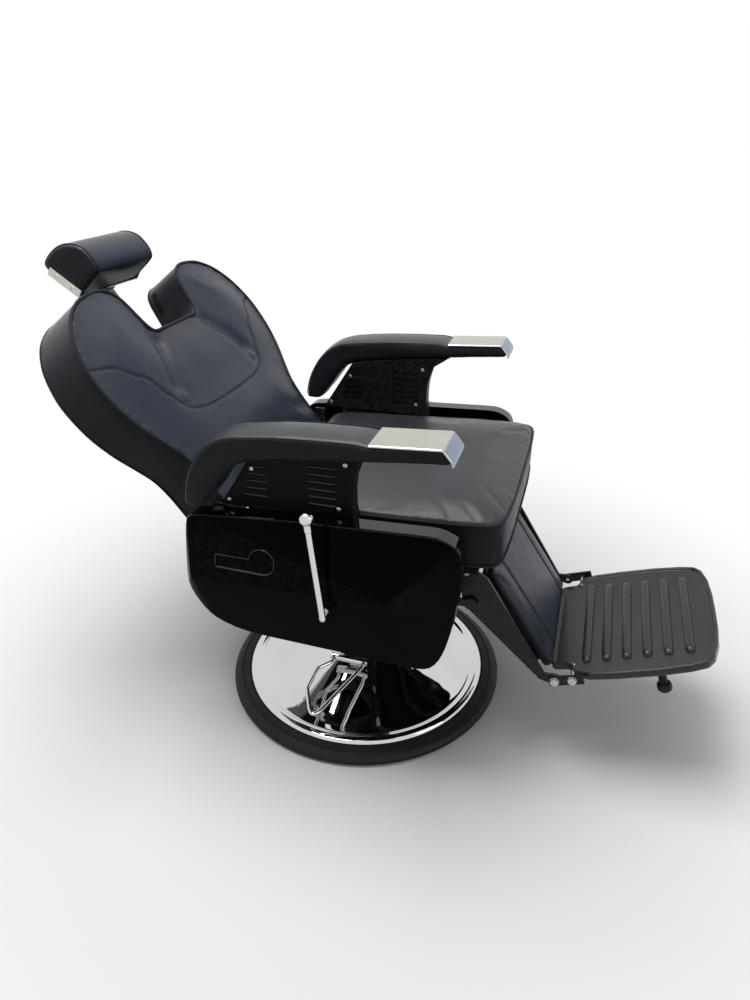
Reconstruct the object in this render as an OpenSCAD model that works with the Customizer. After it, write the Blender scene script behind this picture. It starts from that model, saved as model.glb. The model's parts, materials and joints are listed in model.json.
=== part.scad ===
// Barber chair, reclined as in use. The sitter faces -Y, and the origin is the centre of the base on the floor.

/* [Base] */
// Outer radius of the rubber trim ring
base_r = 330; // [300:5:360]
// Radial width of the trim ring
trim_w = 39; // [30:1:48]
// Height of the trim ring
trim_h = 26; // [22:1:34]
// Thickness of the ballast plate
plate_t = 10; // [6:1:16]
// Rise of the chrome dome above the ballast plate
dome_rise = 84; // [60:1:100]
// Wall of the chrome dome
dome_wall = 3; // [2:0.5:4]

/* [Pump] */
// Outer radius of the pump body
pump_r = 45; // [42:1:52]
// Radius of the pump piston
piston_r = 26; // [22:1:28]
// Travel of the lift
lift_travel = 150; // [100:10:170]
// Reach of the pedal loop from the pump's centre line
pedal_reach = 314; // [260:2:330]
// Radius of the pedal rod
pedal_rod_r = 6; // [5:0.5:8]

/* [Seat] */
// Height of the seat cushion's front edge above the floor, at the lowest setting
seat_h = 600; // [580:5:640]
// Width of the seat cushion
seat_w = 504; // [480:2:508]
// Depth of the seat cushion
seat_d = 495; // [460:5:500]
// Edge thickness of the seat cushion at the front
cushion_t = 92; // [80:1:100]
// Rise of the cushion's crown above its edge
seat_crown = 18; // [8:1:24]
// Width of the seat frame over its side rails
frame_w = 524; // [516:2:540]
// Height of the seat frame rails
rail_h = 40; // [36:1:44]

/* [Back] */
// Lean of the back from vertical, as shown
back_lean = 36.87; // [30:0.5:42]
// Greatest width of the back
back_w = 634; // [600:2:660]
// Length of the back cushion, from its lower edge to the top of its lobes
back_len = 506; // [460:5:540]
// Thickness of the back cushion
back_cushion_t = 78; // [60:1:84]
// Depth of the rear shell behind the board
shell_d = 20; // [18:1:28]

/* [Headrest] */
// Width of the headrest pad
head_w = 200; // [180:2:260]
// Depth of the headrest pad, along its flat side
head_d = 114; // [100:2:126]
// Height of the headrest pad above its flat side
head_h = 93; // [80:1:110]
// Tilt of the headrest's flat side from level, as shown
head_tilt = 34; // [10:0.5:50]
// Width of the flat headrest bar
head_bar_w = 36; // [28:1:44]
// Travel of the headrest bar
head_travel = 80; // [40:5:100]

/* [Arms] */
// Width of an armrest
arm_w = 83; // [74:1:90]
// Length of an armrest
arm_len = 499; // [480:1:510]
// Height of an armrest from its rear tip to its top
arm_rise = 173; // [165:1:180]
// Thickness of the metal arm cap
cap_t = 2; // [1:0.5:3]
// Width of the louvred arm support
support_w = 30; // [26:1:34]

/* [Side covers] */
// Length of a side cover
cover_len = 546; // [520:2:560]
// Height of a side cover
cover_h = 294; // [270:2:300]
// Depth of a side cover at its ridge
cover_depth = 57; // [50:1:66]
// Wall of a side cover
cover_wall = 3; // [2:0.5:4]

/* [Legrest] */
// Lean of the legrest from vertical, as shown
leg_lean = 34; // [28:0.5:40]
// Width of the leg pad
leg_w = 302; // [280:2:316]
// Length of the leg pad
leg_len = 234; // [210:2:240]
// Edge thickness of the leg pad
leg_pad_t = 22; // [16:1:26]
// Distance between the two leg arms, inside
leg_arm_gap = 360; // [352:2:372]

/* [Footplate] */
// Tilt of the footplate from level, as shown
foot_tilt = 19.5; // [10:0.5:24]
// Greatest width of the footplate
foot_w = 362; // [356:2:380]
// Length of the footplate
foot_len = 304; // [270:2:320]
// Number of ribs across the footplate
foot_ribs = 6; // [3:1:7]

/* [Recline lever] */
// Length of the lever rod
lever_len = 202; // [160:2:220]
// Radius of the lever rod
lever_r = 6; // [4:0.5:7]
// Radius of the ball knob
ball_r = 13; // [10:0.5:16]

/* [Hidden] */
$fn = 64;

// Clearances and the overrun of a cut
run = 0.05;
clear = 0.3;
over = 1;

// Seat stack, from the cushion down to the hub
board_t = 12;
board_z = seat_h - cushion_t - board_t;
rail_z = board_z - rail_h;
rail_wall = 4;
rail_w = 20;
rail_mid = rail_z + rail_h / 2;
frame_half = frame_w / 2;
seat_gap = 10;
// The arms stand outside the frame and outside the cushion
web_x = max(frame_half, seat_w / 2 + seat_gap);
rail_in = frame_half - rail_w;
cross_w = 25;
mount_t = 6;
mount_pitch = 75;
mount_edge = 15;
mount_half = mount_pitch + mount_edge;
mount_z = rail_z - mount_t;
bolt_r = 5;
bolt_head_r = 9;
bolt_head_h = 6;
nut_r = 8;
nut_h = 8;
front_rail_y = -232;
rear_rail_y = mount_pitch;
seat_front = -345;
seat_rear = seat_front + seat_d;
board_setback = 45;
board_front = seat_front + board_setback;
board_inset = 5;

// Pivots, as [y, z]
back_pivot = [235, rail_mid];
leg_pivot = [-268, rail_z];
crank = [-15, -68];
pin_r = 8;
boss_r = rail_h / 2;
boss_wall = 8;
eye_r = pin_r + boss_wall;

// Swivel hub and pump
hub_flange_t = 8;
hub_flange_r = 60;
hub_r = 34;
hub_len = 54;
hub_z = mount_z - hub_len;
spigot_r = 22;
bearing_t = 8;
shoulder_t = 8;
shoulder_gap = 5;
cap_h = 14;
piston_top = hub_z - clear - bearing_t;
pump_top = piston_top - shoulder_t - shoulder_gap;
bore_gap = 8;
pump_bore_r = piston_r + bore_gap;
piston_head_h = 20;
piston_guide = 100;
piston_foot = pump_top - cap_h - piston_guide - lift_travel - piston_head_h;
flange_r = 75;
flange_t = 10;
flange_pitch = 62;
flange_bolts = 4;
flange_bolt_r = 4;
flange_head_r = 7;
flange_head_h = 5;

// Pedal
pedal_z = 104;
pedal_pin_x = -88;
pedal_pin_r = 5;
pedal_eye_r = 11;
ear_t = 8;
yoke_w = 30;
yoke_bar_x = -108;
yoke_bar_r = 9;
yoke_rod_y = [-32, 42];
yoke_end = 8;
pedal_tip_y = 20;
pedal_bend = 77;
pedal_back_x = pedal_reach - pedal_bend;
pedal_back_y = 72;
nose_end = -66;
nose_h = 6;
plunger_x = -70;
plunger_r = 4;
plunger_len = 26;
chamber_gap = 14;
chamber_z = pedal_z + chamber_gap;
chamber_h = 34;
chamber_r = 12;
block_in = 10;

// Recline cylinder
recline_low = -20;
recline_high = 28;
yoke_crank = 45;
yoke_pin_r = 6;
yoke_gap = 0.5;
yoke_lead = (recline_low + recline_high) / 2;
yoke_swing = (recline_high - recline_low) / 2;
yoke_rise = yoke_crank * (1 - cos(yoke_swing)) / 2;
yoke_at = [yoke_crank * sin(yoke_lead), -yoke_crank * cos(yoke_lead)];
cyl_gap = 33;
cyl_x = -mount_pitch - cyl_gap;
cyl_r = 16;
cyl_z = back_pivot[1] - yoke_crank + yoke_rise;
cyl_front = -100;
cyl_rear = 150;
valve_len = 40;
valve_half = 18;
valve_side = 32;
button_r = 3;
button_gap = 26;
button_x = cyl_x - button_gap;
button_len = 7;
rod_r = 7;
rod_in = 60;
rod_block = 30;
rod_block_w = 16;
lug_w = 16;

// Back, in its own frame: the pivot is its origin, +Z runs up the back and -Y out of its front
back_foot = 16;
back_front = 77;
board_y = back_cushion_t - back_front;
back_half = back_w / 2;
back_board_t = 12;
frame_y = board_y + back_board_t;
back_inset = 3;
shell_wall = 3;
frame_d = shell_d - shell_wall - clear;
ear_w = 8;
ear_gap = 8;
ear_x = rail_in - ear_gap - ear_w;
bar_low = 34;
bar_high = 62;
upright_x = 150;
upright_w = 30;
upright_top = 330;
crank_x = leg_arm_gap / 2;
crank_w = 6;
guide_wall = 4;
guide_w = head_bar_w + 2 * guide_wall + 2 * run;
guide_top = 395;
guide_grip = 160;
guide_len = head_travel + guide_grip;
head_bar_t = 8;
bar_mid = frame_y + frame_d / 2;
bar_length = 400;
bar_top = 555;

// The back's half outline: shares of the half width and of the length, from the middle of the notch
back_shares = [[0, 0.776], [0.15, 0.776], [0.245, 0.779], [0.284, 0.82], [0.32, 0.92], [0.36, 0.968],
    [0.44, 0.997], [0.55, 1], [0.68, 0.985], [0.82, 0.935], [0.93, 0.85], [0.99, 0.745], [1, 0.66],
    [0.98, 0.56], [0.925, 0.46], [0.85, 0.37], [0.79, 0.29], [0.768, 0.2], [0.764, 0.08], [0.752, 0.035],
    [0.7, 0.008], [0.6, 0], [0.3, 0], [0, 0]];

// Seat cushion outline: shares of the half width and of the depth, from the middle of the front
seat_shares = [[0, 0], [0.5, 0.001], [0.82, 0.01], [0.94, 0.035], [0.98, 0.09], [1, 0.2], [1, 0.45],
    [0.985, 0.7], [0.975, 0.9], [0.95, 0.97], [0.88, 1], [0.5, 1], [0, 1]];
seat_fall_share = 0.047;
seat_inner_share = 0.42;

// Headrest: the section's outline in shares of the pad's depth and height, from the front of its flat side
head_shares = [[0.167, 0], [0.85, 0], [0.965, 0.035], [1, 0.11], [0.985, 0.28], [0.935, 0.48], [0.85, 0.68],
    [0.73, 0.84], [0.58, 0.95], [0.43, 1], [0.3, 0.985], [0.18, 0.945], [0.075, 0.88], [0.01, 0.8],
    [0, 0.73], [0.03, 0.55], [0.096, 0.27], [0.145, 0.055]];
// Stations across the headrest, as shares of its half width, and how much of the section stands there
head_ends_shares = [[-1, 0.9], [-0.975, 0.95], [-0.92, 0.985], [-0.8, 1], [0.8, 1], [0.92, 0.985],
    [0.975, 0.95], [1, 0.9]];
head_front = -26;
bracket_t = 3;
bracket_flange = 15;
bracket_y = [-9, 68];
fork_t = 4;
fork_x = head_bar_w / 2 + clear;
head_pin_r = 4;
head_eye_r = 8;
head_gap = head_eye_r + clear + bracket_t + clear;
head_screw_r = 4.5;
head_screw_h = 1.5;

// Arms
arm_overlap = 7;
arm_x = web_x - arm_overlap;
arm_out = arm_x + arm_w;
arm_front = -262;
arm_lift = 4;
arm_base = seat_h + arm_lift;
// Top and bottom of the armrest at stations from the front to the rear tip
arm_shares = [[[0.006, 0.87], [0.006, 0.84]], [[0.034, 0.985], [0.03, 0.82]], [[0.15, 0.965], [0.15, 0.79]],
    [[0.278, 0.94], [0.278, 0.75]], [[0.33, 0.958], [0.33, 0.735]], [[0.463, 0.948], [0.463, 0.695]],
    [[0.605, 0.925], [0.6, 0.645]], [[0.71, 0.892], [0.695, 0.61]], [[0.795, 0.855], [0.75, 0.572]],
    [[0.857, 0.78], [0.782, 0.53]], [[0.91, 0.65], [0.813, 0.455]], [[0.95, 0.5], [0.85, 0.32]],
    [[0.98, 0.32], [0.885, 0.18]], [[0.995, 0.14], [0.912, 0.09]], [[1, 0], [0.928, 0]]];
arm_crown_share = 0.03;
cap_stations = 4;
cap_pad_share = 0.94;
cap_side = 6;

// Louvred arm support
panel_t = 3;
support_overlap = 5;
support_in = web_x - support_overlap;
support_out = support_in + support_w;
web_t = 6;
panel_front = -111;
panel_len = 298;
panel_drop = 12;
panel_foot = seat_h - panel_drop;
panel_rise = 148;
// The panel's foot and concave front, as shares of its length and rise; its top follows the armrest
panel_shares = [[1, 0], [0.1, 0], [0.117, 0.2], [0.117, 0.41], [0.105, 0.6], [0.062, 0.84]];
panel_stations = [3, 8];
screw_shares = [[0.765, 0.56], [0.155, 0.77], [0.94, 0.08], [0.205, 0.17]];
louvre_n = 6;
louvre_pitch_share = 0.1;
louvre_low_share = 0.17;
louvre_t = 4;
louvre_front = [-46, 55];
louvre_rear = [88, 52];
louvre_shrink = 5;
screw_r = 2;
screw_head_r = 4.5;
screw_head_h = 2;
standoff_r = 5;
tab_front = -60;
tab_rear = 140;
tab_posts = [-30, 110];
tab_post_w = 30;

// Side cover outline: shares of its length and height
cover_y = -284;
cover_drop = 287;
cover_z = seat_h - cover_drop;
cover_gap = 1;
cover_in = support_out + cover_gap;
roof_h = 22;
cover_rim = cover_in + cover_depth - roof_h;
cover_top = cover_in + cover_depth;
cover_shares = [[0, 0.74], [0.005, 0.878], [0.027, 0.956], [0.088, 1], [0.234, 0.992], [0.56, 0.966],
    [0.77, 0.935], [0.93, 0.903], [0.968, 0.86], [0.985, 0.684], [1, 0.364], [0.965, 0.207], [0.907, 0.095],
    [0.813, 0.034], [0.7, 0.015], [0.161, 0], [0.092, 0.027], [0.051, 0.153], [0.024, 0.364]];
ridge_shares = [[0.242, 0.527], [0.68, 0.475], [0.965, 0.45]];
ridge_fall = 8;
lip = 2.5;
stand_r = 8;
cover_bracket_y = [-200, 204];
cover_bracket_w = 26;
bracket_inset = 24;
bracket_low = cover_z + bracket_inset;
bracket_high = seat_h - bracket_inset;
stand_high = 16;

// Recline lever
lever_drop = 45;
lever_pivot = [-41, rail_mid - lever_drop];
lever_lean = 5.6;
lever_gap = 20;
lever_x = cover_top + lever_gap;
lever_hub_r = 13;
ring_r = 17;
ring_out = 4;
ball_neck = 8;
neck_h = 12;
bearing_half = 16;
lever_finger = 17;

// Legrest, in its own frame, with the leg pivot as its origin
arm_plate_t = 6;
leg_front = 36;
leg_top = -34;
leg_board_t = 10;
leg_seam_share = 0.64;
leg_seam = 3;
leg_crown = 7;
leg_bar_t = 14;
leg_bar_h = 24;
leg_bar_inset_share = 0.12;
link_gap = 2;
link_x = crank_x + arm_plate_t + link_gap;
link_t = 6;
link_half = 8;
link_end_r = 13;
leg_ear_gap = 12;
ear_in = crank_x - leg_ear_gap;
leg_ear_t = 8;

// Footplate, in its own frame, with its pivot as its origin: -Y runs out to its tip
foot_drop = 24;
foot_pivot_in_leg = [-leg_front, leg_top - leg_len - foot_drop];
foot_t = 5;
foot_rear = 8;
foot_top = 5;
skirt = 16;
rim_h = 4;
rim_w = 12;
foot_shares = [[0, 0], [0.78, 0], [0.79, 0.1], [0.93, 0.115], [0.99, 0.25], [1, 0.42], [0.99, 0.65],
    [0.955, 0.82],
    [0.91, 0.915], [0.82, 0.955], [0.6, 0.985], [0.3, 0.998], [0, 1]];
rib_w = 11;
rib_first_share = 0.14;
rib_last_share = 0.8;
rib_half_share = 0.76;
rib_taper_share = 0.05;
strap_t = 4;
strap_h = 22;
foot_bolt_r = 4;
foot_head_r = 8;
foot_head_h = 5;
foot_bolt_gap = 35;
bumper_r = 14;
bumper_neck_r = 7;
bumper_h = 18;
bumper_drop = 40;
bumper_share = [0.87, 0.64];

// Small helpers
function mix(a, b, t) = a + (b - a) * t;
function unit(v) = v / norm(v);
function spread(shares, size, at) = [for (s = shares) [at[0] + s[0] * size[0], at[1] + s[1] * size[1]]];
function mirrored(half) = concat(half, [for (i = [len(half) - 2 : -1 : 1]) [-half[i][0], half[i][1]]]);
function reversed(list) = [for (i = [len(list) - 1 : -1 : 0]) list[i]];
function turned(p, lean) = [p[0] * cos(lean) + p[1] * sin(lean), p[1] * cos(lean) - p[0] * sin(lean)];

// A smooth closed curve through points, with tangents kept short so that it never overshoots
function tangent(p, i) =
    let (n = len(p), a = p[(i + n - 1) % n], b = p[i], c = p[(i + 1) % n])
    unit(c - a) * min(norm(b - a), norm(c - b));
function smooth(p, steps) = [for (i = [0 : len(p) - 1], k = [0 : steps - 1])
    let (j = (i + 1) % len(p), t = k / steps, m = tangent(p, i), n = tangent(p, j))
    p[i] * (2 * pow(t, 3) - 3 * t * t + 1) + m * (pow(t, 3) - 2 * t * t + t)
    + p[j] * (3 * t * t - 2 * pow(t, 3)) + n * (pow(t, 3) - t * t)];

module box(low, high) {
    translate(low) cube(high - low);
}

// An outline in Y and Z, extruded along X from x0 to x1
module plate(x0, x1, points) {
    translate([x0, 0, 0]) rotate([90, 0, 90]) linear_extrude(x1 - x0) polygon(points);
}

module rod_x(x0, x1, at, r) {
    translate([x0, at[0], at[1]]) rotate([0, 90, 0]) cylinder(h = x1 - x0, r = r);
}

module both_sides() {
    children();
    mirror([1, 0, 0]) children();
}

module at_back() {
    translate([0, back_pivot[0], back_pivot[1]]) rotate([-back_lean, 0, 0]) children();
}

module at_leg() {
    translate([0, leg_pivot[0], leg_pivot[1]]) rotate([-leg_lean, 0, 0]) children();
}

function mean(ring) = [for (a = [0 : 2]) [for (p = ring) p[a]] * [for (p = ring) 1] / len(ring)];

// Skin over rings of points, closed by a flat foot and a fan from the last ring to its middle
module skin(rings, middle) {
    n = len(rings[0]);
    m = len(rings);
    points = concat([for (ring = rings, p = ring) p], [middle]);
    sides = [for (j = [0 : m - 2], i = [0 : n - 1], half = [0, 1])
        let (a = j * n + i, b = j * n + (i + 1) % n)
        half == 0 ? [a, b + n, b] : [a, a + n, b + n]];
    fan = [for (i = [0 : n - 1]) [(m - 1) * n + i, m * n, (m - 1) * n + (i + 1) % n]];
    polyhedron(points, concat(sides, fan, [[for (i = [0 : n - 1]) i]]), convexity = 6);
}

// A cushion: its outline stands on Z = 0, its sides draw in, and its top rises to a crown round a centre.
// Each level holds how far a ring lies from the outline to the inner line, its height, and if it slopes.
module cushion(outline, centre, inner_share, levels, slope) {
    rings = [for (v = levels) [for (q = outline)
        let (p = mix(q, mix(centre, q, inner_share), v[0]))
        [p[0], p[1], v[1] + (v[2] == undef ? 0 : slope * (p[1] - outline[0][1]))]]];
    top = levels[len(levels) - 1][1] + slope * (centre[1] - outline[0][1]);
    skin(rings, [centre[0], centre[1], top]);
}

// Rings of a crowned cushion of edge height t and crown c
function levels(t, c, round_share, draw_share) = [
    [round_share, 0], [0, 0.14 * t], [draw_share, 0.5 * t, 1], [0, 0.96 * t, 1], [0.02, t, 1],
    [0.1, t + 0.42 * c, 1], [0.25, t + 0.68 * c, 1], [0.5, t + 0.89 * c, 1], [0.8, t + 0.98 * c, 1],
    [1, t + c, 1]];

module base_plate() {
    color("dimgray") cylinder(h = plate_t, r = base_r - trim_w - clear);
}

// Outer line of the dome: shares of the radius inside the trim ring, and of the dome's rise
dome_r = base_r - trim_w - clear;
dome_shares = [[1, 0], [1, 0.18], [0.985, 0.255], [0.95, 0.285], [0.918, 0.25], [0.895, 0.215],
    [0.82, 0.26],
    [0.68, 0.39], [0.52, 0.57], [0.38, 0.75], [0.28, 0.87], [0.2, 0.96], [0.165, 1]];

module base_dome() {
    outer = spread(dome_shares, [dome_r, dome_rise], [0, plate_t]);
    inner = [for (i = [len(outer) - 1 : -1 : 0]) outer[i] - (i < 2 ? [dome_wall, 0] : [0, dome_wall])];
    color("silver") difference() {
        rotate_extrude($fn = 128) polygon(concat(outer, inner));
        cylinder(h = plate_t + dome_rise + over, r = pump_r + clear);
    }
}

module base_trim_ring() {
    bevel = trim_w / 5;
    color([0.06, 0.06, 0.06]) rotate_extrude($fn = 128) polygon([
        [base_r - trim_w, 0], [base_r - bevel, 0], [base_r, bevel], [base_r, trim_h - 1.6 * bevel],
        [base_r - bevel, trim_h - bevel / 2], [base_r - 2.2 * bevel, trim_h],
        [base_r - trim_w + bevel / 2, trim_h], [base_r - trim_w, trim_h - bevel / 2]]);
}

module flange_places() {
    for (i = [0 : flange_bolts - 1]) rotate(360 / flange_bolts * (i + 0.5))
        translate([flange_pitch, 0, 0]) children();
}

module pump_body() {
    color("dimgray") difference() {
        union() {
            translate([0, 0, plate_t]) cylinder(h = flange_t, r = flange_r);
            translate([0, 0, plate_t]) cylinder(h = pump_top - cap_h - plate_t, r = pump_r);
        }
        translate([0, 0, plate_t + flange_t]) cylinder(h = pump_top, r = pump_bore_r + run);
        flange_places() cylinder(h = plate_t + flange_t + over, r = flange_bolt_r);
    }
}

module pump_guide_cap() {
    color("silver") translate([0, 0, pump_top - cap_h]) difference() {
        cylinder(h = cap_h, r = pump_r);
        translate([0, 0, -over]) cylinder(h = cap_h + 2 * over, r = piston_r + run);
    }
}

module pump_bolts() {
    color("silver") flange_places() {
        translate([0, 0, plate_t]) cylinder(h = flange_t, r = flange_bolt_r);
        translate([0, 0, plate_t + flange_t]) cylinder(h = flange_head_h, r = flange_head_r, $fn = 6);
    }
}

// The pump chamber's block: ears for the pedal pin below, and the plunger's bore above
module pedal_bracket() {
    ear_y = yoke_w / 2 + clear;
    color("dimgray") difference() {
        union() {
            for (side = [-1, 1]) translate([0, side * (ear_y + ear_t / 2), 0]) {
                box([pedal_pin_x, -ear_t / 2, pedal_z - pedal_eye_r / 2],
                    [-pump_r + block_in, ear_t / 2, chamber_z + chamber_h / 2]);
                translate([pedal_pin_x, ear_t / 2, pedal_z]) rotate([90, 0, 0])
                    cylinder(h = ear_t, r = pedal_eye_r);
            }
            box([plunger_x - chamber_r, -ear_y - ear_t, chamber_z],
                [-pump_r + block_in, ear_y + ear_t, chamber_z + chamber_h]);
        }
        cylinder(h = pump_top, r = pump_r);
        translate([pedal_pin_x, ear_y + ear_t + over, pedal_z]) rotate([90, 0, 0])
            cylinder(h = 2 * (ear_y + ear_t + over), r = pedal_pin_r);
        translate([plunger_x, 0, chamber_z - over])
            cylinder(h = chamber_h + over - chamber_r / 2, r = plunger_r + run);
    }
}

module pedal_pin() {
    ear_y = yoke_w / 2 + clear + ear_t;
    color("silver") translate([pedal_pin_x, ear_y, pedal_z]) rotate([90, 0, 0])
        cylinder(h = 2 * ear_y, r = pedal_pin_r);
}

module pump_plunger() {
    color("silver") translate([plunger_x, 0, pedal_z + nose_h + clear])
        cylinder(h = plunger_len, r = plunger_r);
}

// Turns on the pedal pin: a nose lifts the plunger, and a cross bar takes the pedal's two rods
module pedal_yoke() {
    color("silver") difference() {
        union() {
            translate([pedal_pin_x, yoke_w / 2, pedal_z]) rotate([90, 0, 0])
                cylinder(h = yoke_w, r = pedal_eye_r - clear);
            box([pedal_pin_x, -chamber_r, pedal_z - nose_h], [nose_end, chamber_r, pedal_z + nose_h]);
            box([yoke_bar_x, -chamber_r, pedal_z - nose_h], [pedal_pin_x, chamber_r, pedal_z + nose_h]);
            translate([yoke_bar_x, yoke_rod_y[1] + yoke_end, pedal_z]) rotate([90, 0, 0])
                cylinder(h = yoke_rod_y[1] - yoke_rod_y[0] + 2 * yoke_end, r = yoke_bar_r);
        }
        translate([pedal_pin_x, yoke_w, pedal_z]) rotate([90, 0, 0])
            cylinder(h = 2 * yoke_w, r = pedal_pin_r + run);
        for (y = yoke_rod_y) translate([yoke_bar_x, y, pedal_z]) rotate([0, -90, 0])
            cylinder(h = yoke_bar_r + over, r = pedal_rod_r);
    }
}

// A straight, level stretch of rod between two places
module stretch(a, b, r) {
    d = b - a;
    translate(a) rotate([0, 0, atan2(d[1], d[0])]) rotate([0, 90, 0]) cylinder(h = norm(d), r = r);
}

module pedal_loop() {
    start = yoke_bar_x - yoke_bar_r - 2 * pedal_rod_r;
    route = [[start, yoke_rod_y[0], pedal_z], [-pedal_reach, pedal_tip_y, pedal_z],
        [-pedal_back_x, pedal_back_y, pedal_z], [start, yoke_rod_y[1], pedal_z]];
    color("silver") {
        for (i = [0 : 2]) stretch(route[i], route[i + 1], pedal_rod_r);
        for (p = route) translate(p) sphere(r = pedal_rod_r + clear);
        for (y = yoke_rod_y) translate([yoke_bar_x, y, pedal_z]) rotate([0, -90, 0])
            cylinder(h = yoke_bar_x - start, r = pedal_rod_r);
    }
}

module pump_piston() {
    color("silver") {
        translate([0, 0, piston_foot]) cylinder(h = piston_head_h, r = pump_bore_r);
        translate([0, 0, piston_foot]) cylinder(h = piston_top - piston_foot, r = piston_r);
        translate([0, 0, piston_top - shoulder_t]) cylinder(h = shoulder_t, r = hub_r);
        translate([0, 0, piston_top]) cylinder(h = mount_z - clear - piston_top, r = spigot_r);
    }
}

module thrust_bearing() {
    color("gray") translate([0, 0, piston_top]) difference() {
        cylinder(h = bearing_t, r = hub_r);
        translate([0, 0, -over]) cylinder(h = bearing_t + 2 * over, r = spigot_r);
    }
}

module swivel_hub() {
    color("dimgray") difference() {
        union() {
            translate([0, 0, hub_z]) cylinder(h = hub_len, r = hub_r);
            translate([0, 0, mount_z - hub_flange_t]) cylinder(h = hub_flange_t, r = hub_flange_r);
        }
        translate([0, 0, hub_z - over]) cylinder(h = hub_len + 2 * over, r = spigot_r + run);
    }
}

module mount_places() {
    for (x = [-mount_pitch, mount_pitch], y = [-mount_pitch, mount_pitch]) translate([x, y, 0]) children();
}

module mount_plate() {
    color("dimgray") difference() {
        box([-mount_half, -mount_half, mount_z], [mount_half, mount_half, rail_z]);
        mount_places() translate([0, 0, mount_z - over]) cylinder(h = mount_t + 2 * over, r = bolt_r);
    }
}

module mount_bolts() {
    color("silver") mount_places() {
        translate([0, 0, mount_z - bolt_head_h]) cylinder(h = bolt_head_h, r = bolt_head_r, $fn = 6);
        translate([0, 0, mount_z]) cylinder(h = mount_t + rail_wall, r = bolt_r);
        translate([0, 0, rail_z + rail_wall]) cylinder(h = nut_h, r = nut_r, $fn = 6);
    }
}

// A pressed channel across the frame, open at the top
module cross_rail(y) {
    difference() {
        box([-rail_in, y - cross_w / 2, rail_z], [rail_in, y + cross_w / 2, board_z]);
        box([-rail_in - over, y - cross_w / 2 + rail_wall, rail_z + rail_wall],
            [rail_in + over, y + cross_w / 2 - rail_wall, board_z + over]);
    }
}

module side_rail() {
    front = front_rail_y - cross_w / 2;
    difference() {
        union() {
            difference() {
                box([rail_in, front, rail_z], [frame_half, back_pivot[0], board_z]);
                box([rail_in - over, front - over, rail_z + rail_wall],
                    [frame_half - rail_wall, back_pivot[0], board_z - rail_wall]);
            }
            rod_x(rail_in, frame_half, back_pivot, boss_r);
        }
        rod_x(rail_in - over, frame_half + over, back_pivot, pin_r);
    }
}

// Ears that carry the legrest in front of the first cross rail
module leg_ear() {
    difference() {
        union() {
            rod_x(ear_in - leg_ear_t, ear_in, leg_pivot, eye_r);
            box([ear_in - leg_ear_t, leg_pivot[0], rail_z],
                [ear_in, front_rail_y - cross_w / 2 + rail_wall, rail_z + eye_r]);
        }
        rod_x(ear_in - leg_ear_t - over, ear_in + over, leg_pivot, pin_r);
    }
}

module seat_frame() {
    color([0.1, 0.1, 0.1]) difference() {
        union() {
            for (y = [front_rail_y, -mount_pitch, rear_rail_y]) cross_rail(y);
            both_sides() {
                side_rail();
                leg_ear();
            }
            rod_x(-frame_half, -rail_in, lever_pivot, bearing_half);
            box([-frame_half, lever_pivot[0] - bearing_half, lever_pivot[1]],
                [-rail_in, lever_pivot[0] + bearing_half, rail_z + rail_wall]);
        }
        rod_x(-frame_half - over, -rail_in + over, lever_pivot, lever_r + run);
        mount_places() translate([0, 0, rail_z - over]) cylinder(h = rail_wall + 2 * over, r = bolt_r);
    }
}

module seat_board() {
    color("burlywood")
        box([-seat_w / 2 + board_inset, board_front, board_z],
        [seat_w / 2 - board_inset, seat_rear - board_inset, board_z + board_t]);
}

module seat_cushion() {
    half = spread(seat_shares, [seat_w / 2, seat_d], [0, seat_front]);
    outline = smooth(mirrored(half), 2);
    color([0.08, 0.08, 0.09]) translate([0, 0, board_z + board_t])
        cushion(outline, [0, seat_front + seat_d / 2], seat_inner_share,
            levels(cushion_t, seat_crown, 0.03, 0.03), -seat_fall_share);
}

function arm_point(s) = [arm_front + s[0] * arm_len, arm_base + s[1] * arm_rise];

// A quarter of the armrest's rounded section, as shares of its width and of its thickness
arm_corner_shares = [[0.035, 0.3], [0.075, 0.105], [0.15, 0]];

// A ring round the armrest at one station: a rounded rectangle between its top and bottom places
function arm_ring(top, bottom, wide, crown) =
    let (w = arm_w * wide, x0 = arm_x + (arm_w - w) / 2, c = arm_corner_shares,
        shares = concat(c, [[0.5, -crown]], [for (q = reversed(c)) [1 - q[0], q[1]]], [[1, 0.5]],
            [for (q = c) [1 - q[0], 1 - q[1]]], [[0.5, 1]], [for (q = reversed(c)) [q[0], 1 - q[1]]],
                [[0, 0.5]]))
    [for (q = shares) let (p = mix(top, bottom, q[1])) [x0 + q[0] * w, p[0], p[1]]];

module arm_pad() {
    n = len(arm_shares);
    rings = [for (i = [0 : n - 1])
        let (capped = i < cap_stations)
        arm_ring(arm_point(arm_shares[i][0]), arm_point(arm_shares[i][1]), capped ? cap_pad_share : 1,
            capped ? 0 : arm_crown_share)];
    color([0.08, 0.08, 0.09]) skin(rings, mean(rings[n - 1]));
}

module arm_pad_left() {
    arm_pad();
}

module arm_pad_right() {
    mirror([1, 0, 0]) arm_pad();
}

// A bent plate over the armrest's front: its top, its slanted nose and two short sides
module arm_cap() {
    inner = concat([for (i = [cap_stations - 1 : -1 : 0]) arm_point(arm_shares[i][0]) + [-clear, clear]],
        [arm_point(arm_shares[0][1]) + [-clear, clear]]);
    outer = [for (p = inner) p + [-cap_t, cap_t]];
    n = len(inner);
    color("silver") {
        plate(arm_x, arm_out, concat(outer, reversed(inner)));
        for (x = [arm_x, arm_out - cap_t])
            plate(x, x + cap_t,
                concat(outer, [for (i = [n - 1 : -1 : 0]) outer[i] + [i == 0 ? 0 : cap_side, -cap_side]]));
    }
}

module arm_cap_left() {
    arm_cap();
}

module arm_cap_right() {
    mirror([1, 0, 0]) arm_cap();
}

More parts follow.
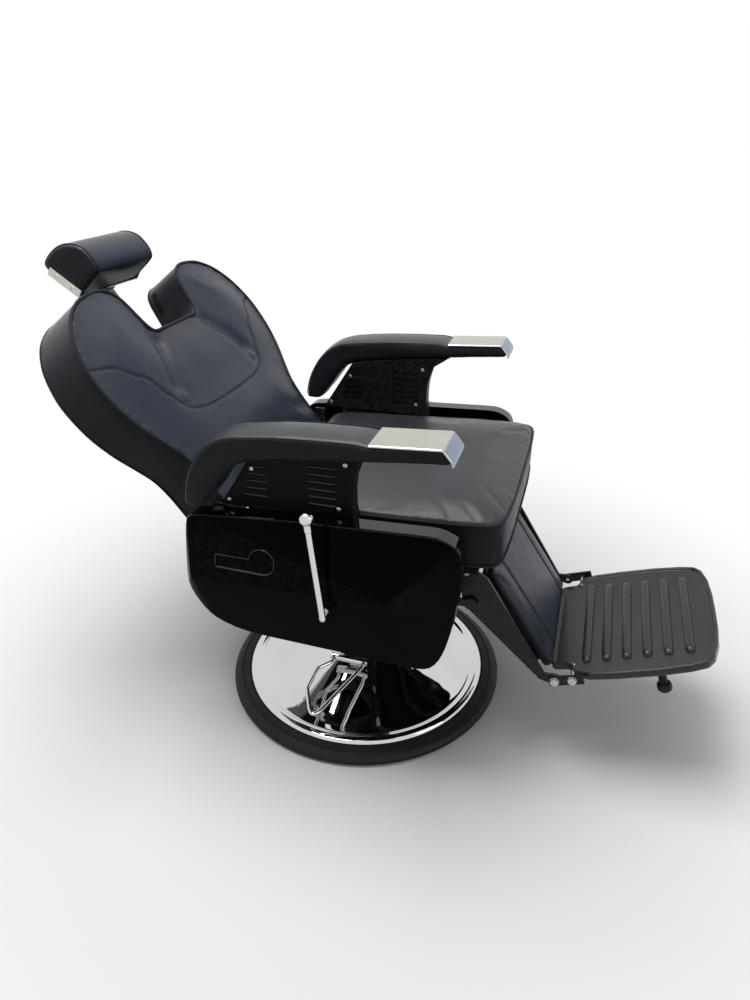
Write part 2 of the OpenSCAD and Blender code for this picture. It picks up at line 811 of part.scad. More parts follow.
function panel_outline(inset) =
    let (c = [panel_front + panel_len / 2, panel_foot + panel_rise / 2],
        points = concat(spread(panel_shares, [panel_len, panel_rise], [panel_front, panel_foot]),
            [for (i = [panel_stations[0] : panel_stations[1]]) arm_point(arm_shares[i][1]) - [0, clear]]))
    [for (p = points) c + [(p[0] - c[0]) * (1 - 2 * inset / panel_len),
        (p[1] - c[1]) * (1 - 2 * inset / panel_rise)]];
function screw_places() = spread(screw_shares, [panel_len, panel_rise], [panel_front, panel_foot]);

// Rows of louvres: each row starts one shrink further back than the row below
module louvres(x0, x1, span, lean) {
    for (i = [0 : louvre_n - 1]) {
        z = panel_foot + panel_rise * (louvre_low_share + i * louvre_pitch_share);
        box([x0, span[0], z], [x1, span[0] + span[1] - i * lean, z + louvre_t]);
    }
}

// Posts that join the web's foot to its panel, through the outer half's rim
module web_posts(gap, extra) {
    for (y = tab_posts)
        box([web_x - gap - extra, y - tab_post_w / 2 - gap, panel_foot - over - extra],
            [web_x + web_t + gap, y + tab_post_w / 2 + gap, panel_foot + 3 * panel_t]);
}

module grille(x0, deep) {
    color([0.12, 0.12, 0.12]) difference() {
        plate(x0 - deep, x0 + panel_t, panel_outline(0));
        plate(x0 - deep - over, x0, panel_outline(panel_t));
        louvres(x0 - over, x0 + panel_t + over, louvre_front, 0);
        louvres(x0 - over, x0 + panel_t + over, louvre_rear, louvre_shrink);
        web_posts(clear, over);
        for (p = screw_places()) rod_x(x0 - over, x0 + panel_t + over, p, screw_r);
    }
}

// The outer half is a shell with a rim that closes the support's edges; the inner half is a flat panel
module grille_outer_left() {
    grille(support_out - panel_t, support_w - 2 * panel_t);
}

module grille_outer_right() {
    mirror([1, 0, 0]) grille_outer_left();
}

module grille_inner_left() {
    grille(support_in, 0);
}

module grille_inner_right() {
    mirror([1, 0, 0]) grille_inner_left();
}

module grille_screws() {
    color("silver") both_sides() for (p = screw_places()) {
        rod_x(support_out - panel_t, support_out, p, screw_r);
        rod_x(support_out, support_out + screw_head_h, p, screw_head_r);
        rod_x(support_in, support_in + panel_t, p, screw_r);
        rod_x(support_in - screw_head_h, support_in, p, screw_head_r);
    }
}

// The steel web between the louvred panels: it stands on the side rail and carries the armrest
module arm_frame() {
    color([0.1, 0.1, 0.1]) {
        plate(web_x, web_x + web_t, panel_outline(2 * panel_t));
        box([web_x, tab_front, rail_z], [web_x + web_t, tab_rear, panel_foot - clear]);
        box([frame_half, tab_front, rail_z], [web_x + web_t, tab_rear, board_z]);
        web_posts(0, 0);
        for (q = screw_places()) {
            rod_x(support_in + panel_t, web_x, q, standoff_r);
            rod_x(web_x + web_t, support_out - panel_t, q, standoff_r);
        }
    }
}

module arm_frame_left() {
    arm_frame();
}

module arm_frame_right() {
    mirror([1, 0, 0]) arm_frame();
}

function cover_outline(inset) =
    let (c = [cover_len / 2, cover_h / 2])
    [for (s = cover_shares)
        let (p = [s[0] * cover_len, s[1] * cover_h])
        [cover_y, cover_z] + c + (p - c) * (1 - inset / min(c))];

// The outside of a side cover: its rim, its lip and the roof from the ridge to the rim
module cover_form(inset) {
    ridge = spread(ridge_shares, [cover_len, cover_h], [cover_y, cover_z]);
    hull() {
        plate(cover_in - inset, cover_rim - inset, cover_outline(inset));
        for (i = [0 : 2])
            rod_x(cover_rim - inset, cover_top - inset - (i == 0 ? 0 : i * ridge_fall / 2), ridge[i], lip);
    }
}

module cover_stands() {
    for (y = cover_bracket_y, z = [bracket_low + stand_high, bracket_high - stand_high])
        rod_x(web_x + web_t, cover_top, [y, z], stand_r);
}

module side_cover() {
    difference() {
        cover_form(0);
        cover_form(cover_wall);
    }
    intersection() {
        cover_form(0);
        cover_stands();
    }
    difference() {
        cover_stands();
        translate([cover_in, 0, 0]) rotate([0, 90, 0]) cylinder(h = cover_depth * 2, r = cover_len * 2);
    }
}

module side_cover_left() {
    color([0.05, 0.05, 0.05]) side_cover();
}

module side_cover_right() {
    color([0.05, 0.05, 0.05]) difference() {
        mirror([1, 0, 0]) side_cover();
        rod_x(-cover_top - over, -cover_in + over, lever_pivot, ring_r);
    }
}

module cover_brackets() {
    color([0.1, 0.1, 0.1]) both_sides() for (y = cover_bracket_y)
    {
        box([web_x, y - cover_bracket_w / 2, bracket_low],
            [web_x + web_t, y + cover_bracket_w / 2, bracket_high]);
        box([frame_half, y - cover_bracket_w / 2, rail_z],
            [web_x + web_t, y + cover_bracket_w / 2, board_z]);
    }
}

module lever_escutcheon() {
    color([0.05, 0.05, 0.05]) difference() {
        rod_x(-cover_top - ring_out, -cover_rim + cover_wall, lever_pivot, ring_r);
        rod_x(-cover_top - ring_out - over, -cover_rim + cover_wall + over, lever_pivot, lever_r + clear);
    }
}

module back_hinge_pins() {
    color("silver") both_sides() {
        rod_x(ear_x, frame_half, back_pivot, pin_r);
        rod_x(ear_x + ear_w + clear, rail_in, back_pivot, pin_r + boss_wall / 2);
    }
}

module leg_hinge_pins() {
    color("silver") both_sides() {
        rod_x(ear_in - leg_ear_t, crank_x + arm_plate_t + clear, leg_pivot, pin_r);
        rod_x(ear_in, crank_x - clear, leg_pivot, pin_r + boss_wall / 2);
    }
}

// A locking cylinder hung from two cross rails, with a valve block and its button at the front
module recline_cylinder() {
    valve_rear = cyl_front + valve_len;
    color("dimgray") difference() {
        union() {
            translate([cyl_x, cyl_rear, cyl_z]) rotate([90, 0, 0])
                cylinder(h = cyl_rear - cyl_front, r = cyl_r);
            box([cyl_x - valve_side, cyl_front, cyl_z - valve_half],
                [cyl_x + valve_half, valve_rear, cyl_z + cyl_r]);
            translate([button_x, valve_rear + button_len, lever_pivot[1] - lever_finger + button_r])
                rotate([90, 0, 0])
                cylinder(h = 2 * button_len, r = button_r);
            for (y = [-mount_pitch, rear_rail_y])
                box([cyl_x - lug_w / 2, y - cross_w / 2, cyl_z],
                    [cyl_x + lug_w / 2, y + cross_w / 2, rail_z]);
        }
        translate([cyl_x, cyl_rear + over, cyl_z]) rotate([90, 0, 0])
            cylinder(h = cyl_rear - valve_rear + over, r = rod_r + run);
    }
}

// The cylinder's rod: the pin of the back's crank slides up and down in its end block
module recline_rod() {
    pin_y = back_pivot[0] + yoke_at[0];
    block_x = cyl_x - rod_block_w / 2;
    slot_r = yoke_pin_r + yoke_gap;
    color("silver") difference() {
        union() {
            translate([cyl_x, pin_y - rod_block / 2 + over, cyl_z]) rotate([90, 0, 0])
                cylinder(h = pin_y - rod_block / 2 + over - rod_in, r = rod_r);
            box([block_x, pin_y - rod_block / 2, cyl_z - rod_block / 2],
                [block_x + rod_block_w, pin_y + rod_block / 2, cyl_z + rod_block / 2]);
        }
        for (z = [-yoke_rise, yoke_rise])
            rod_x(block_x - over, block_x + rod_block_w + over, [pin_y, cyl_z + z], slot_r);
        box([block_x - over, pin_y - slot_r, cyl_z - yoke_rise],
            [block_x + rod_block_w + over, pin_y + slot_r, cyl_z + yoke_rise]);
    }
}

module recline_lever() {
    foot = [-lever_x, lever_pivot[0], lever_pivot[1]];
    color("silver") {
        rod_x(-lever_x, button_x + 2 * button_r, lever_pivot, lever_r);
        box([button_x - 2 * button_r, lever_pivot[0] - button_r, lever_pivot[1] - lever_finger],
            [button_x + 2 * button_r, lever_pivot[0] + button_r, lever_pivot[1]]);
        rod_x(-lever_x - lever_r, -cover_top - ring_out - clear, lever_pivot, lever_hub_r);
        translate(foot) rotate([-lever_lean, 0, 0]) cylinder(h = lever_len - ball_r - neck_h, r = lever_r);
    }
}

module lever_ball() {
    color("white") translate([-lever_x, lever_pivot[0], lever_pivot[1]]) rotate([-lever_lean, 0, 0]) {
        translate([0, 0, lever_len]) sphere(r = ball_r);
        translate([0, 0, lever_len - ball_r - neck_h]) cylinder(h = neck_h + ball_r / 2, r = ball_neck);
    }
}

// Hinge ears, a low cross bar, two uprights, the cranks of the leg links and of the recline rod
module back_frame() {
    link_crank = turned(crank, -back_lean);
    rod_at = turned(yoke_at, -back_lean);
    bar_y = [frame_y, frame_y + frame_d];
    crank_plate_x = cyl_x - rod_block_w / 2 - clear - crank_w;
    color([0.1, 0.1, 0.1]) at_back() difference() {
        union() {
            box([-ear_x, bar_y[0], bar_low], [ear_x, bar_y[1], bar_high]);
            both_sides() {
                hull() {
                    rod_x(ear_x, ear_x + ear_w, [0, 0], eye_r);
                    box([ear_x, bar_y[0], bar_low], [ear_x + ear_w, bar_y[1], bar_high]);
                }
                box([upright_x, bar_y[0], bar_high], [upright_x + upright_w, bar_y[1], upright_top]);
                hull() {
                    rod_x(crank_x, crank_x + crank_w, link_crank, eye_r);
                    box([crank_x, bar_y[0], bar_low], [crank_x + crank_w, bar_y[1], bar_high]);
                }
            }
            hull() {
                rod_x(crank_plate_x, crank_plate_x + crank_w, rod_at, eye_r);
                box([crank_plate_x, bar_y[0], bar_low], [crank_plate_x + crank_w, bar_y[1], bar_high]);
            }
            rod_x(crank_plate_x, crank_plate_x + crank_w + rod_block_w + 2 * clear, rod_at, yoke_pin_r);
        }
        box([-back_half, bar_y[0] - 2 * eye_r, back_foot - clear], [back_half, bar_y[0], bar_high + over]);
        box([-back_half, bar_y[1], back_foot - clear], [back_half, bar_y[1] + 2 * eye_r, bar_high + over]);
        both_sides() {
            rod_x(ear_x - over, ear_x + ear_w + over, [0, 0], pin_r + run);
            rod_x(crank_x - over, crank_x + crank_w + over, link_crank, pin_r + run);
        }
    }
}

function back_half_outline(inset) = [for (s = back_shares)
    [max(0, s[0] * back_half - (s[0] > 0 ? inset * sign(s[0] - back_shares[3][0] + (s[1] < 0.7 ? 1 : 0)) : 0)),
        back_foot + s[1] * back_len + (s[1] < 0.01 ? inset : 0) - (s[1] > 0.75 ? inset : 0)]];
function back_outline(inset) = mirrored(back_half_outline(inset));

// An extruded slice of the back's outline, from y0 to y1 in the back's frame
module back_slice(y0, y1, inset) {
    translate([0, y1, 0]) rotate([90, 0, 0]) linear_extrude(y1 - y0) polygon(back_outline(inset));
}

module back_cushion() {
    color([0.08, 0.08, 0.09]) at_back() back_slice(-back_front, board_y, 0);
}

module back_board() {
    color("burlywood") at_back() back_slice(board_y, frame_y, back_inset);
}

// A pan behind the board, open at the foot for the hinge ears and slotted in the notch for the bar
module back_shell() {
    slot_half = guide_w / 2 + clear;
    rear = frame_y + shell_d;
    color([0.08, 0.08, 0.09]) at_back() difference() {
        back_slice(frame_y, rear, 0);
        back_slice(frame_y - over, rear - shell_wall, 2 * shell_wall);
        box([-back_half, frame_y - over, 0], [back_half, rear - shell_wall, bar_high + clear]);
        box([-slot_half, frame_y - over, back_foot + back_len / 2],
            [slot_half, rear - shell_wall, back_foot + back_len]);
    }
}

module headrest_guide() {
    half = head_bar_t / 2 + run;
    color("dimgray") at_back() difference() {
        box([-guide_w / 2, frame_y, guide_top - guide_len], [guide_w / 2, frame_y + frame_d, guide_top]);
        box([-head_bar_w / 2 - run, bar_mid - half, guide_top - guide_len - over],
            [head_bar_w / 2 + run, bar_mid + half, guide_top + over]);
    }
}

module headrest_bar() {
    color("silver") at_back() difference() {
        union() {
            box([-head_bar_w / 2, bar_mid - head_bar_t / 2, bar_top - bar_length],
                [head_bar_w / 2, bar_mid + head_bar_t / 2, bar_top]);
            rod_x(-head_bar_w / 2, head_bar_w / 2, [bar_mid, bar_top], head_eye_r);
        }
        rod_x(-head_bar_w, head_bar_w, [bar_mid, bar_top], head_pin_r);
    }
}

module headrest_pivot_pin() {
    color("silver") at_back() rod_x(-fork_x - fork_t, fork_x + fork_t, [bar_mid, bar_top], head_pin_r);
}

// The headrest's own frame: its origin is the pivot, and +Z stands square on the pad's flat side
module at_head() {
    at_back() translate([0, bar_mid, bar_top]) rotate([back_lean + head_tilt, 0, 0]) children();
}

// A tray under the pad, turned up at both ends, with two fork ears for the bar
module headrest_bracket() {
    half = head_w / 2 + clear;
    color("silver") at_head() difference() {
        union() {
            box([-half - bracket_t, bracket_y[0], head_gap - bracket_t],
                [half + bracket_t, bracket_y[1], head_gap]);
            both_sides() {
                box([half, bracket_y[0], head_gap - bracket_t],
                    [half + bracket_t, bracket_y[1], head_gap + bracket_flange]);
                hull() {
                    rod_x(fork_x, fork_x + fork_t, [0, 0], head_eye_r);
                    box([fork_x, bracket_y[0], head_gap - bracket_t],
                        [fork_x + fork_t, 2 * head_eye_r, head_gap - clear]);
                }
            }
        }
        rod_x(-2 * fork_x, 2 * fork_x, [0, 0], head_pin_r + run);
    }
}

module headrest_pad() {
    rings = [for (s = head_ends_shares) [for (q = head_shares)
        [s[0] * head_w / 2, head_front + (0.5 + (q[0] - 0.5) * s[1]) * head_d,
            head_gap + q[1] * head_h * s[1]]]];
    color([0.08, 0.08, 0.09]) at_head() skin(rings, mean(rings[len(rings) - 1]));
}

module headrest_screws() {
    half = head_w / 2 + clear + bracket_t;
    color("silver") at_head() both_sides()
        for (y = [mix(bracket_y[0], bracket_y[1], 0.25), mix(bracket_y[0], bracket_y[1], 0.75)])
        rod_x(half, half + head_screw_h, [y, head_gap + bracket_flange / 2], head_screw_r);
}

// Flat links from the back's cranks to the legrest's, with a pin at each end
module leg_links() {
    rear = back_pivot + crank;
    front = leg_pivot + crank;
    d = front - rear;
    side = unit([-d[1], d[0]]) * link_half;
    color([0.1, 0.1, 0.1]) both_sides() {
        plate(link_x, link_x + link_t, [rear + side, rear - side, front - side, front + side]);
        for (p = [rear, front]) rod_x(link_x, link_x + link_t, p, link_end_r);
        rod_x(crank_x, link_x, rear, pin_r);
        rod_x(crank_x, link_x, front, pin_r - clear);
    }
}

// A leg arm in its own frame: pivot at the top, crank behind it and a toe at the foot
module leg_arm() {
    pin = turned(crank, -leg_lean);
    toe = foot_pivot_in_leg;
    color([0.1, 0.1, 0.1]) at_leg() difference() {
        union() {
            hull() {
                rod_x(crank_x, crank_x + arm_plate_t, [0, 0], eye_r);
                rod_x(crank_x, crank_x + arm_plate_t, pin, eye_r);
                rod_x(crank_x, crank_x + arm_plate_t, [-eye_r, leg_top], eye_r);
            }
            hull() {
                rod_x(crank_x, crank_x + arm_plate_t, [-eye_r, leg_top], eye_r);
                rod_x(crank_x, crank_x + arm_plate_t, pin, eye_r);
                rod_x(crank_x, crank_x + arm_plate_t, [-eye_r, toe[1] + eye_r], eye_r / 2);
            }
            hull() {
                rod_x(crank_x, crank_x + arm_plate_t, [-eye_r, toe[1] + eye_r], eye_r / 2);
                rod_x(crank_x, crank_x + arm_plate_t, toe, eye_r * 0.75);
            }
        }
        rod_x(crank_x - over, crank_x + arm_plate_t + over, [0, 0], pin_r + run);
        rod_x(crank_x - over, crank_x + arm_plate_t + over, pin, pin_r + run);
        rod_x(crank_x - over, crank_x + arm_plate_t + over, toe, foot_bolt_r + run);
    }
}

module leg_arm_left() {
    leg_arm();
}

module leg_arm_right() {
    mirror([1, 0, 0]) leg_arm();
}

module leg_crossbars() {
    y0 = leg_pad_t - leg_front + leg_board_t;
    color([0.1, 0.1, 0.1]) at_leg()
        for (z = [leg_top - leg_bar_inset_share * leg_len,
        leg_top - leg_len + leg_bar_inset_share * leg_len])
        box([-crank_x, y0, z - leg_bar_h / 2], [crank_x, y0 + leg_bar_t / 2, z + leg_bar_h / 2]);
}

module leg_board() {
    y0 = leg_pad_t - leg_front;
    color("burlywood") at_leg()
        box([-leg_w / 2 + board_inset, y0, leg_top - leg_len + board_inset],
        [leg_w / 2 - board_inset, y0 + leg_board_t, leg_top - board_inset]);
}

// Height of the leg pad over its rear face: crowned, with two sewn seams along it
function leg_height(u, v) = leg_pad_t + leg_crown * (1 - pow(abs(v), 6)) * (1 - pow(abs(u), 8))
    - leg_seam * max(0, 1 - abs(abs(u) - leg_seam_share) / 0.08);
leg_u = [-1, -0.97, -0.86, -0.72, -0.64, -0.56, -0.4, -0.15, 0.15, 0.4, 0.56, 0.64, 0.72, 0.86, 0.97, 1];
leg_v = [-1, -0.97, -0.88, -0.6, 0, 0.6, 0.88, 0.97, 1];

module leg_pad() {
    nu = len(leg_u);
    nv = len(leg_v);
    top = [for (v = leg_v, u = leg_u) [u * leg_w / 2, v * leg_len / 2, leg_height(u, v)]];
    foot = [for (v = leg_v, u = leg_u) [u * leg_w / 2, v * leg_len / 2, 0]];
    n = nu * nv;
    cells = [for (j = [0 : nv - 2], i = [0 : nu - 2]) [j * nu + i, j * nu + i + 1, (j + 1) * nu + i + 1,
        (j + 1) * nu + i]];
    rim = concat([for (i = [0 : nu - 1]) i], [for (j = [1 : nv - 1]) j * nu + nu - 1],
        [for (i = [nu - 2 : -1 : 0]) (nv - 1) * nu + i], [for (j = [nv - 2 : -1 : 1]) j * nu]);
    faces = concat(
        [for (c = cells, half = [0, 1]) half == 0 ? [c[0], c[2], c[1]] : [c[0], c[3], c[2]]],
        [for (c = cells) [n + c[0], n + c[1], n + c[2], n + c[3]]],
        [for (i = [0 : len(rim) - 1]) let (a = rim[i], b = rim[(i + 1) % len(rim)]) [a, b, n + b, n + a]]);
    color([0.08, 0.08, 0.09]) at_leg() translate([0, leg_pad_t - leg_front, leg_top - leg_len / 2])
        rotate([90, 0, 0])
        polyhedron(concat(top, foot), faces, convexity = 4);
}

// Origin at the footplate's pivot, with -Y along the plate and +Z out of its top
module at_foot() {
    p = leg_pivot + turned(foot_pivot_in_leg, leg_lean);
    translate([0, p[0], p[1]]) rotate([-foot_tilt, 0, 0]) children();
}

function foot_outline(inset) = mirrored([for (s = foot_shares)
    [max(0, s[0] * foot_w / 2 - (s[0] > 0.35 ? inset : 0)),
        -foot_rear - s[1] * foot_len + (s[1] > 0.9 ? inset : 0) - (s[1] == 0 ? inset : 0)]]);

// A tray: a thin top with a bead round it, a skirt below it and pressed ribs across it
strap_x = crank_x + arm_plate_t + clear;

module footplate() {
    tread = foot_top - rim_h;
    color([0.12, 0.12, 0.12]) at_foot() {
        difference() {
            translate([0, 0, foot_top - skirt]) linear_extrude(skirt) polygon(foot_outline(0));
            translate([0, 0, tread]) linear_extrude(skirt) polygon(foot_outline(rim_w));
            translate([0, 0, tread - foot_t - skirt]) linear_extrude(skirt) polygon(foot_outline(foot_t));
            both_sides() box([strap_x - clear, -foot_bolt_gap - strap_h - clear, -strap_h / 2 - clear],
                [strap_x + foot_w, strap_h / 2 + clear, strap_h / 2 + clear]);
        }
        for (i = [0 : foot_ribs - 1]) {
            k = foot_ribs == 1 ? 0 : i / (foot_ribs - 1);
            y = -foot_rear - foot_len * mix(rib_first_share, rib_last_share, k);
            half = foot_w / 2 * (rib_half_share - rib_taper_share * k);
            translate([0, y, tread]) {
                box([-half, -rib_w / 2, 0], [half, rib_w / 2, rim_h]);
            }
        }
    }
}

// Straps outside the leg arms: they turn on the first bolt and hold the plate's side by the second
module foot_brackets() {
    color([0.1, 0.1, 0.1]) at_foot() both_sides() difference() {
        box([strap_x, -foot_bolt_gap - strap_h, -strap_h / 2],
            [strap_x + strap_t, strap_h / 2, strap_h / 2]);
        rod_x(strap_x - over, strap_x + strap_t + over, [0, 0], foot_bolt_r);
        rod_x(strap_x - over, strap_x + strap_t + over, [-foot_bolt_gap, 0], foot_bolt_r);
    }
}

module foot_bolts() {
    color("silver") at_foot() both_sides() {
        for (y = [0, -foot_bolt_gap]) {
            rod_x(strap_x + strap_t, strap_x + strap_t + foot_head_h, [y, 0], foot_head_r);
        }
        rod_x(crank_x, strap_x + strap_t, [0, 0], foot_bolt_r);
        rod_x(foot_w / 2 * foot_shares[2][0], strap_x + strap_t, [-foot_bolt_gap, 0], foot_bolt_r);
    }
}

module foot_bumpers() {
    top = foot_top - rim_h - foot_t;
    color([0.05, 0.05, 0.05]) at_foot() both_sides()
        translate([bumper_share[0] * foot_w / 2, -foot_rear - bumper_share[1] * foot_len, 0]) {
        translate([0, 0, top - bumper_drop - bumper_h]) cylinder(h = bumper_h, r = bumper_r);
        translate([0, 0, top - bumper_drop]) cylinder(h = bumper_drop, r = bumper_neck_r);
    }
}

base_plate();
base_dome();
base_trim_ring();
pump_body();
pump_guide_cap();
pump_bolts();
pedal_bracket();
pedal_pin();
pump_plunger();
pedal_yoke();
pedal_loop();
pump_piston();
thrust_bearing();
swivel_hub();
mount_plate();
mount_bolts();
seat_frame();
seat_board();
seat_cushion();
arm_frame_left();
arm_frame_right();
arm_pad_left();
arm_pad_right();
arm_cap_left();
arm_cap_right();
grille_outer_left();
grille_outer_right();
grille_inner_left();
grille_inner_right();
grille_screws();
side_cover_left();
side_cover_right();
cover_brackets();
lever_escutcheon();
back_hinge_pins();
leg_hinge_pins();
recline_cylinder();
recline_rod();
recline_lever();
lever_ball();
back_frame();
back_board();
back_cushion();
back_shell();
headrest_guide();
headrest_bar();
headrest_pivot_pin();
headrest_bracket();
headrest_pad();
headrest_screws();
leg_links();
leg_arm_left();
leg_arm_right();
leg_crossbars();
leg_board();
leg_pad();
footplate();
foot_brackets();
foot_bolts();
foot_bumpers();
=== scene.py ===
"""A barber chair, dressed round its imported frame: leatherette, moulded covers, chrome and brushed steel.

Sizes are millimetres in the classes below, and become metres where a mesh is made.
The sitter faces -Y, +X is the sitter's left, and the floor is Z = 0.
"""
import json
import logging
import math
from collections.abc import Callable, Iterable, Sequence
from dataclasses import dataclass, field
from enum import Enum
from typing import Any

import bmesh
import bpy
from mathutils import Matrix, Vector, noise
from mathutils.bvhtree import BVHTree
from mathutils.geometry import tessellate_polygon
from mathutils.kdtree import KDTree


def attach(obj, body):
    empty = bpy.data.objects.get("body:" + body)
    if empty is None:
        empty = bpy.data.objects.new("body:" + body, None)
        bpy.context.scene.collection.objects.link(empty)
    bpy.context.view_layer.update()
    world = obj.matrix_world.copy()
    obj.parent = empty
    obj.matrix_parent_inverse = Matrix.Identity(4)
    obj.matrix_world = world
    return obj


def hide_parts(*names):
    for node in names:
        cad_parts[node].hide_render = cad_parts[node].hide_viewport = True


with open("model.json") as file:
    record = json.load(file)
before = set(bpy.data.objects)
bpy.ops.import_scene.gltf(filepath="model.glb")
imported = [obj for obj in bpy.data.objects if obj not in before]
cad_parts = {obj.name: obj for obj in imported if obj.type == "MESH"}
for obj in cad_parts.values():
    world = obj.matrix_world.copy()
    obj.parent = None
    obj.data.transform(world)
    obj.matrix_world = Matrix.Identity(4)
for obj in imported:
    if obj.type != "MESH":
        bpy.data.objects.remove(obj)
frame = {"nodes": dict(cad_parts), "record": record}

logging.basicConfig(level=logging.INFO, format="%(message)s")
LOG = logging.getLogger("barber_chair")
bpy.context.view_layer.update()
MM = 0.001
SIDES = {"left": 1, "right": -1}

Pair = tuple[float, float]
Triple = tuple[float, float, float]
Colour = tuple[float, float, float]


@dataclass(frozen=True)
class Place:
    """Axes of a sub-assembly: an origin in Y and Z, and a lean about X, in degrees.

    Args:
        y: The origin's Y in millimetres.
        z: The origin's Z in millimetres.
        lean: How far the local Z axis leans back towards +Y.
    """

    y: float = 0.0
    z: float = 0.0
    lean: float = 0.0

    def turned(self, y: float, z: float) -> Pair:
        """A local direction in the chair's own axes."""
        a = math.radians(self.lean)
        return y * math.cos(a) + z * math.sin(a), z * math.cos(a) - y * math.sin(a)

    def at(self, p: Sequence[float]) -> Vector:
        """A local point in millimetres as a place in metres."""
        y, z = self.turned(p[1], p[2])
        return Vector((p[0], self.y + y, self.z + z)) * MM

    def inside(self, p: Sequence[float]) -> Vector:
        """A place in metres as a local point in millimetres."""
        a = math.radians(self.lean)
        y, z = p[1] / MM - self.y, p[2] / MM - self.z
        return Vector((p[0] / MM, y * math.cos(a) - z * math.sin(a), y * math.sin(a) + z * math.cos(a)))

    def below(self, y: float, z: float, lean: float) -> "Place":
        """Axes that stand at a local point of these, with a lean of their own from vertical."""
        dy, dz = self.turned(y, z)
        return Place(self.y + dy, self.z + dz, lean)


CHAIR = Place()
BACK = Place(235, 476, 36.87)
LEG = Place(-268, 456, 34)
HEAD = BACK.below(21.35, 555, -34)
FOOT = LEG.below(-36, -292, 19.5)


def spread(shares: Iterable[Pair], size: Pair, at: Pair) -> list[Pair]:
    """Shares of a size, as points from a corner."""
    return [(at[0] + u * size[0], at[1] + v * size[1]) for u, v in shares]


def mirrored(half: Sequence[Pair]) -> list[Pair]:
    """A half outline from X = 0 to X = 0, closed by its mirror image."""
    return list(half) + [(-x, y) for x, y in reversed(half[1:-1])]


def mix(a: Sequence[float], b: Sequence[float], t: float) -> tuple[float, ...]:
    """The point a share t of the way from a to b."""
    return tuple(p + (q - p) * t for p, q in zip(a, b))


def flowing(points: Sequence[Sequence[float]], steps: int, closed: bool = True) -> list[tuple[float, ...]]:
    """A smooth curve through points, with tangents kept short so that it never overshoots.

    Args:
        points: The points, of two or three numbers each.
        steps: How many points each stretch becomes.
        closed: Whether the curve returns to its first point.

    Returns:
        The points of the curve.
    """
    vs = [Vector(p) for p in points]
    n = len(vs)

    def tangent(i: int) -> Vector:
        if not closed and i in (0, n - 1):
            return vs[min(i + 1, n - 1)] - vs[max(i - 1, 0)]
        a, b, c = vs[i - 1], vs[i], vs[(i + 1) % n]
        return (c - a).normalized() * min((b - a).length, (c - b).length)

    out: list[tuple[float, ...]] = []
    for i in range(n if closed else n - 1):
        p, q, m, k = vs[i], vs[(i + 1) % n], tangent(i), tangent((i + 1) % n)
        for s in range(steps):
            t = s / steps
            out.append(tuple(p * (2 * t**3 - 3 * t * t + 1) + m * (t**3 - 2 * t * t + t)
                             + q * (3 * t * t - 2 * t**3) + k * (t**3 - t * t)))
    if not closed:
        out.append(tuple(vs[-1]))
    return out


def even(points: Sequence[Sequence[float]], pitch: float, closed: bool = True) -> list[tuple[float, ...]]:
    """The same line with its points a pitch apart."""
    vs = [Vector(p) for p in points] + ([Vector(points[0])] if closed else [])
    lengths = [(b - a).length for a, b in zip(vs, vs[1:])]
    total = sum(lengths)
    count = max(3, round(total / pitch))
    out, i, run = [], 0, 0.0
    for k in range(count if closed else count + 1):
        want = min(total * k / count, total)
        while i < len(lengths) - 1 and run + lengths[i] < want:
            run += lengths[i]
            i += 1
        out.append(tuple(vs[i].lerp(vs[i + 1], (want - run) / max(lengths[i], 1e-9))))
    return out


def drawn_in(outline: Sequence[Pair], inset: float) -> list[Pair]:
    """A closed outline moved inwards, square to itself, by an inset."""
    area = sum(a[0] * b[1] - b[0] * a[1] for a, b in zip(outline, [*outline[1:], outline[0]]))
    turn = 1 if area > 0 else -1
    out = []
    for i, p in enumerate(outline):
        a, b = Vector(outline[i - 1]), Vector(outline[(i + 1) % len(outline)])
        d = (b - a).normalized()
        out.append((p[0] - d.y * inset * turn, p[1] + d.x * inset * turn))
    return out


def circle(radius: float, count: int) -> list[Pair]:
    """Points evenly spaced round the origin."""
    turns = [math.tau * k / count for k in range(count)]
    return [(radius * math.cos(a), radius * math.sin(a)) for a in turns]


def ring_at(outline: Sequence[Pair], inset: float, level: float, axis: int) -> list[Triple]:
    """An outline in two axes, drawn in by an inset and set at a level along the axis left over."""
    return [(*p[:axis], level, *p[axis:]) for p in drawn_in(outline, inset)]


def rounded(corners: Sequence[Pair], radius: float, steps: int = 6) -> list[Pair]:
    """A polygon with its corners rounded.

    Args:
        corners: The sharp corners.
        radius: The radius of every corner, less where a side is short.
        steps: How many points a corner gets.

    Returns:
        The rounded outline.
    """
    out = []
    for i, c in enumerate(corners):
        p, a, b = Vector(c), Vector(corners[i - 1]), Vector(corners[(i + 1) % len(corners)])
        u, v = (a - p).normalized(), (b - p).normalized()
        half = max(math.acos(max(-1, min(1, u.dot(v)))) / 2, 0.05)
        cut = min(radius / math.tan(half), (a - p).length * 0.45, (b - p).length * 0.45)
        s, e = p + u * cut, p + v * cut
        for k in range(steps + 1):
            t = k / steps
            out.append(tuple(s * (1 - t) ** 2 + p * 2 * t * (1 - t) + e * t * t))
    return out


class Track:
    """A line in two axes or three, for finding how near a point lies to it."""

    def __init__(self, line: Sequence[Sequence[float]], closed: bool = False) -> None:
        """Sort the line's places, a little apart, into a search tree."""
        dense = even(line, 0.7, closed)
        self.tree = KDTree(len(dense))
        for i, p in enumerate(dense):
            self.tree.insert((*p, 0.0)[:3], i)
        self.tree.balance()

    def near(self, *p: float) -> float:
        """How far a point lies from the line."""
        return self.tree.find((*p, 0.0)[:3])[2]


def bell(d: float, width: float) -> float:
    """A smooth bump of height 1 at distance 0, gone at about twice its width."""
    return math.exp(-((d / width) ** 2))


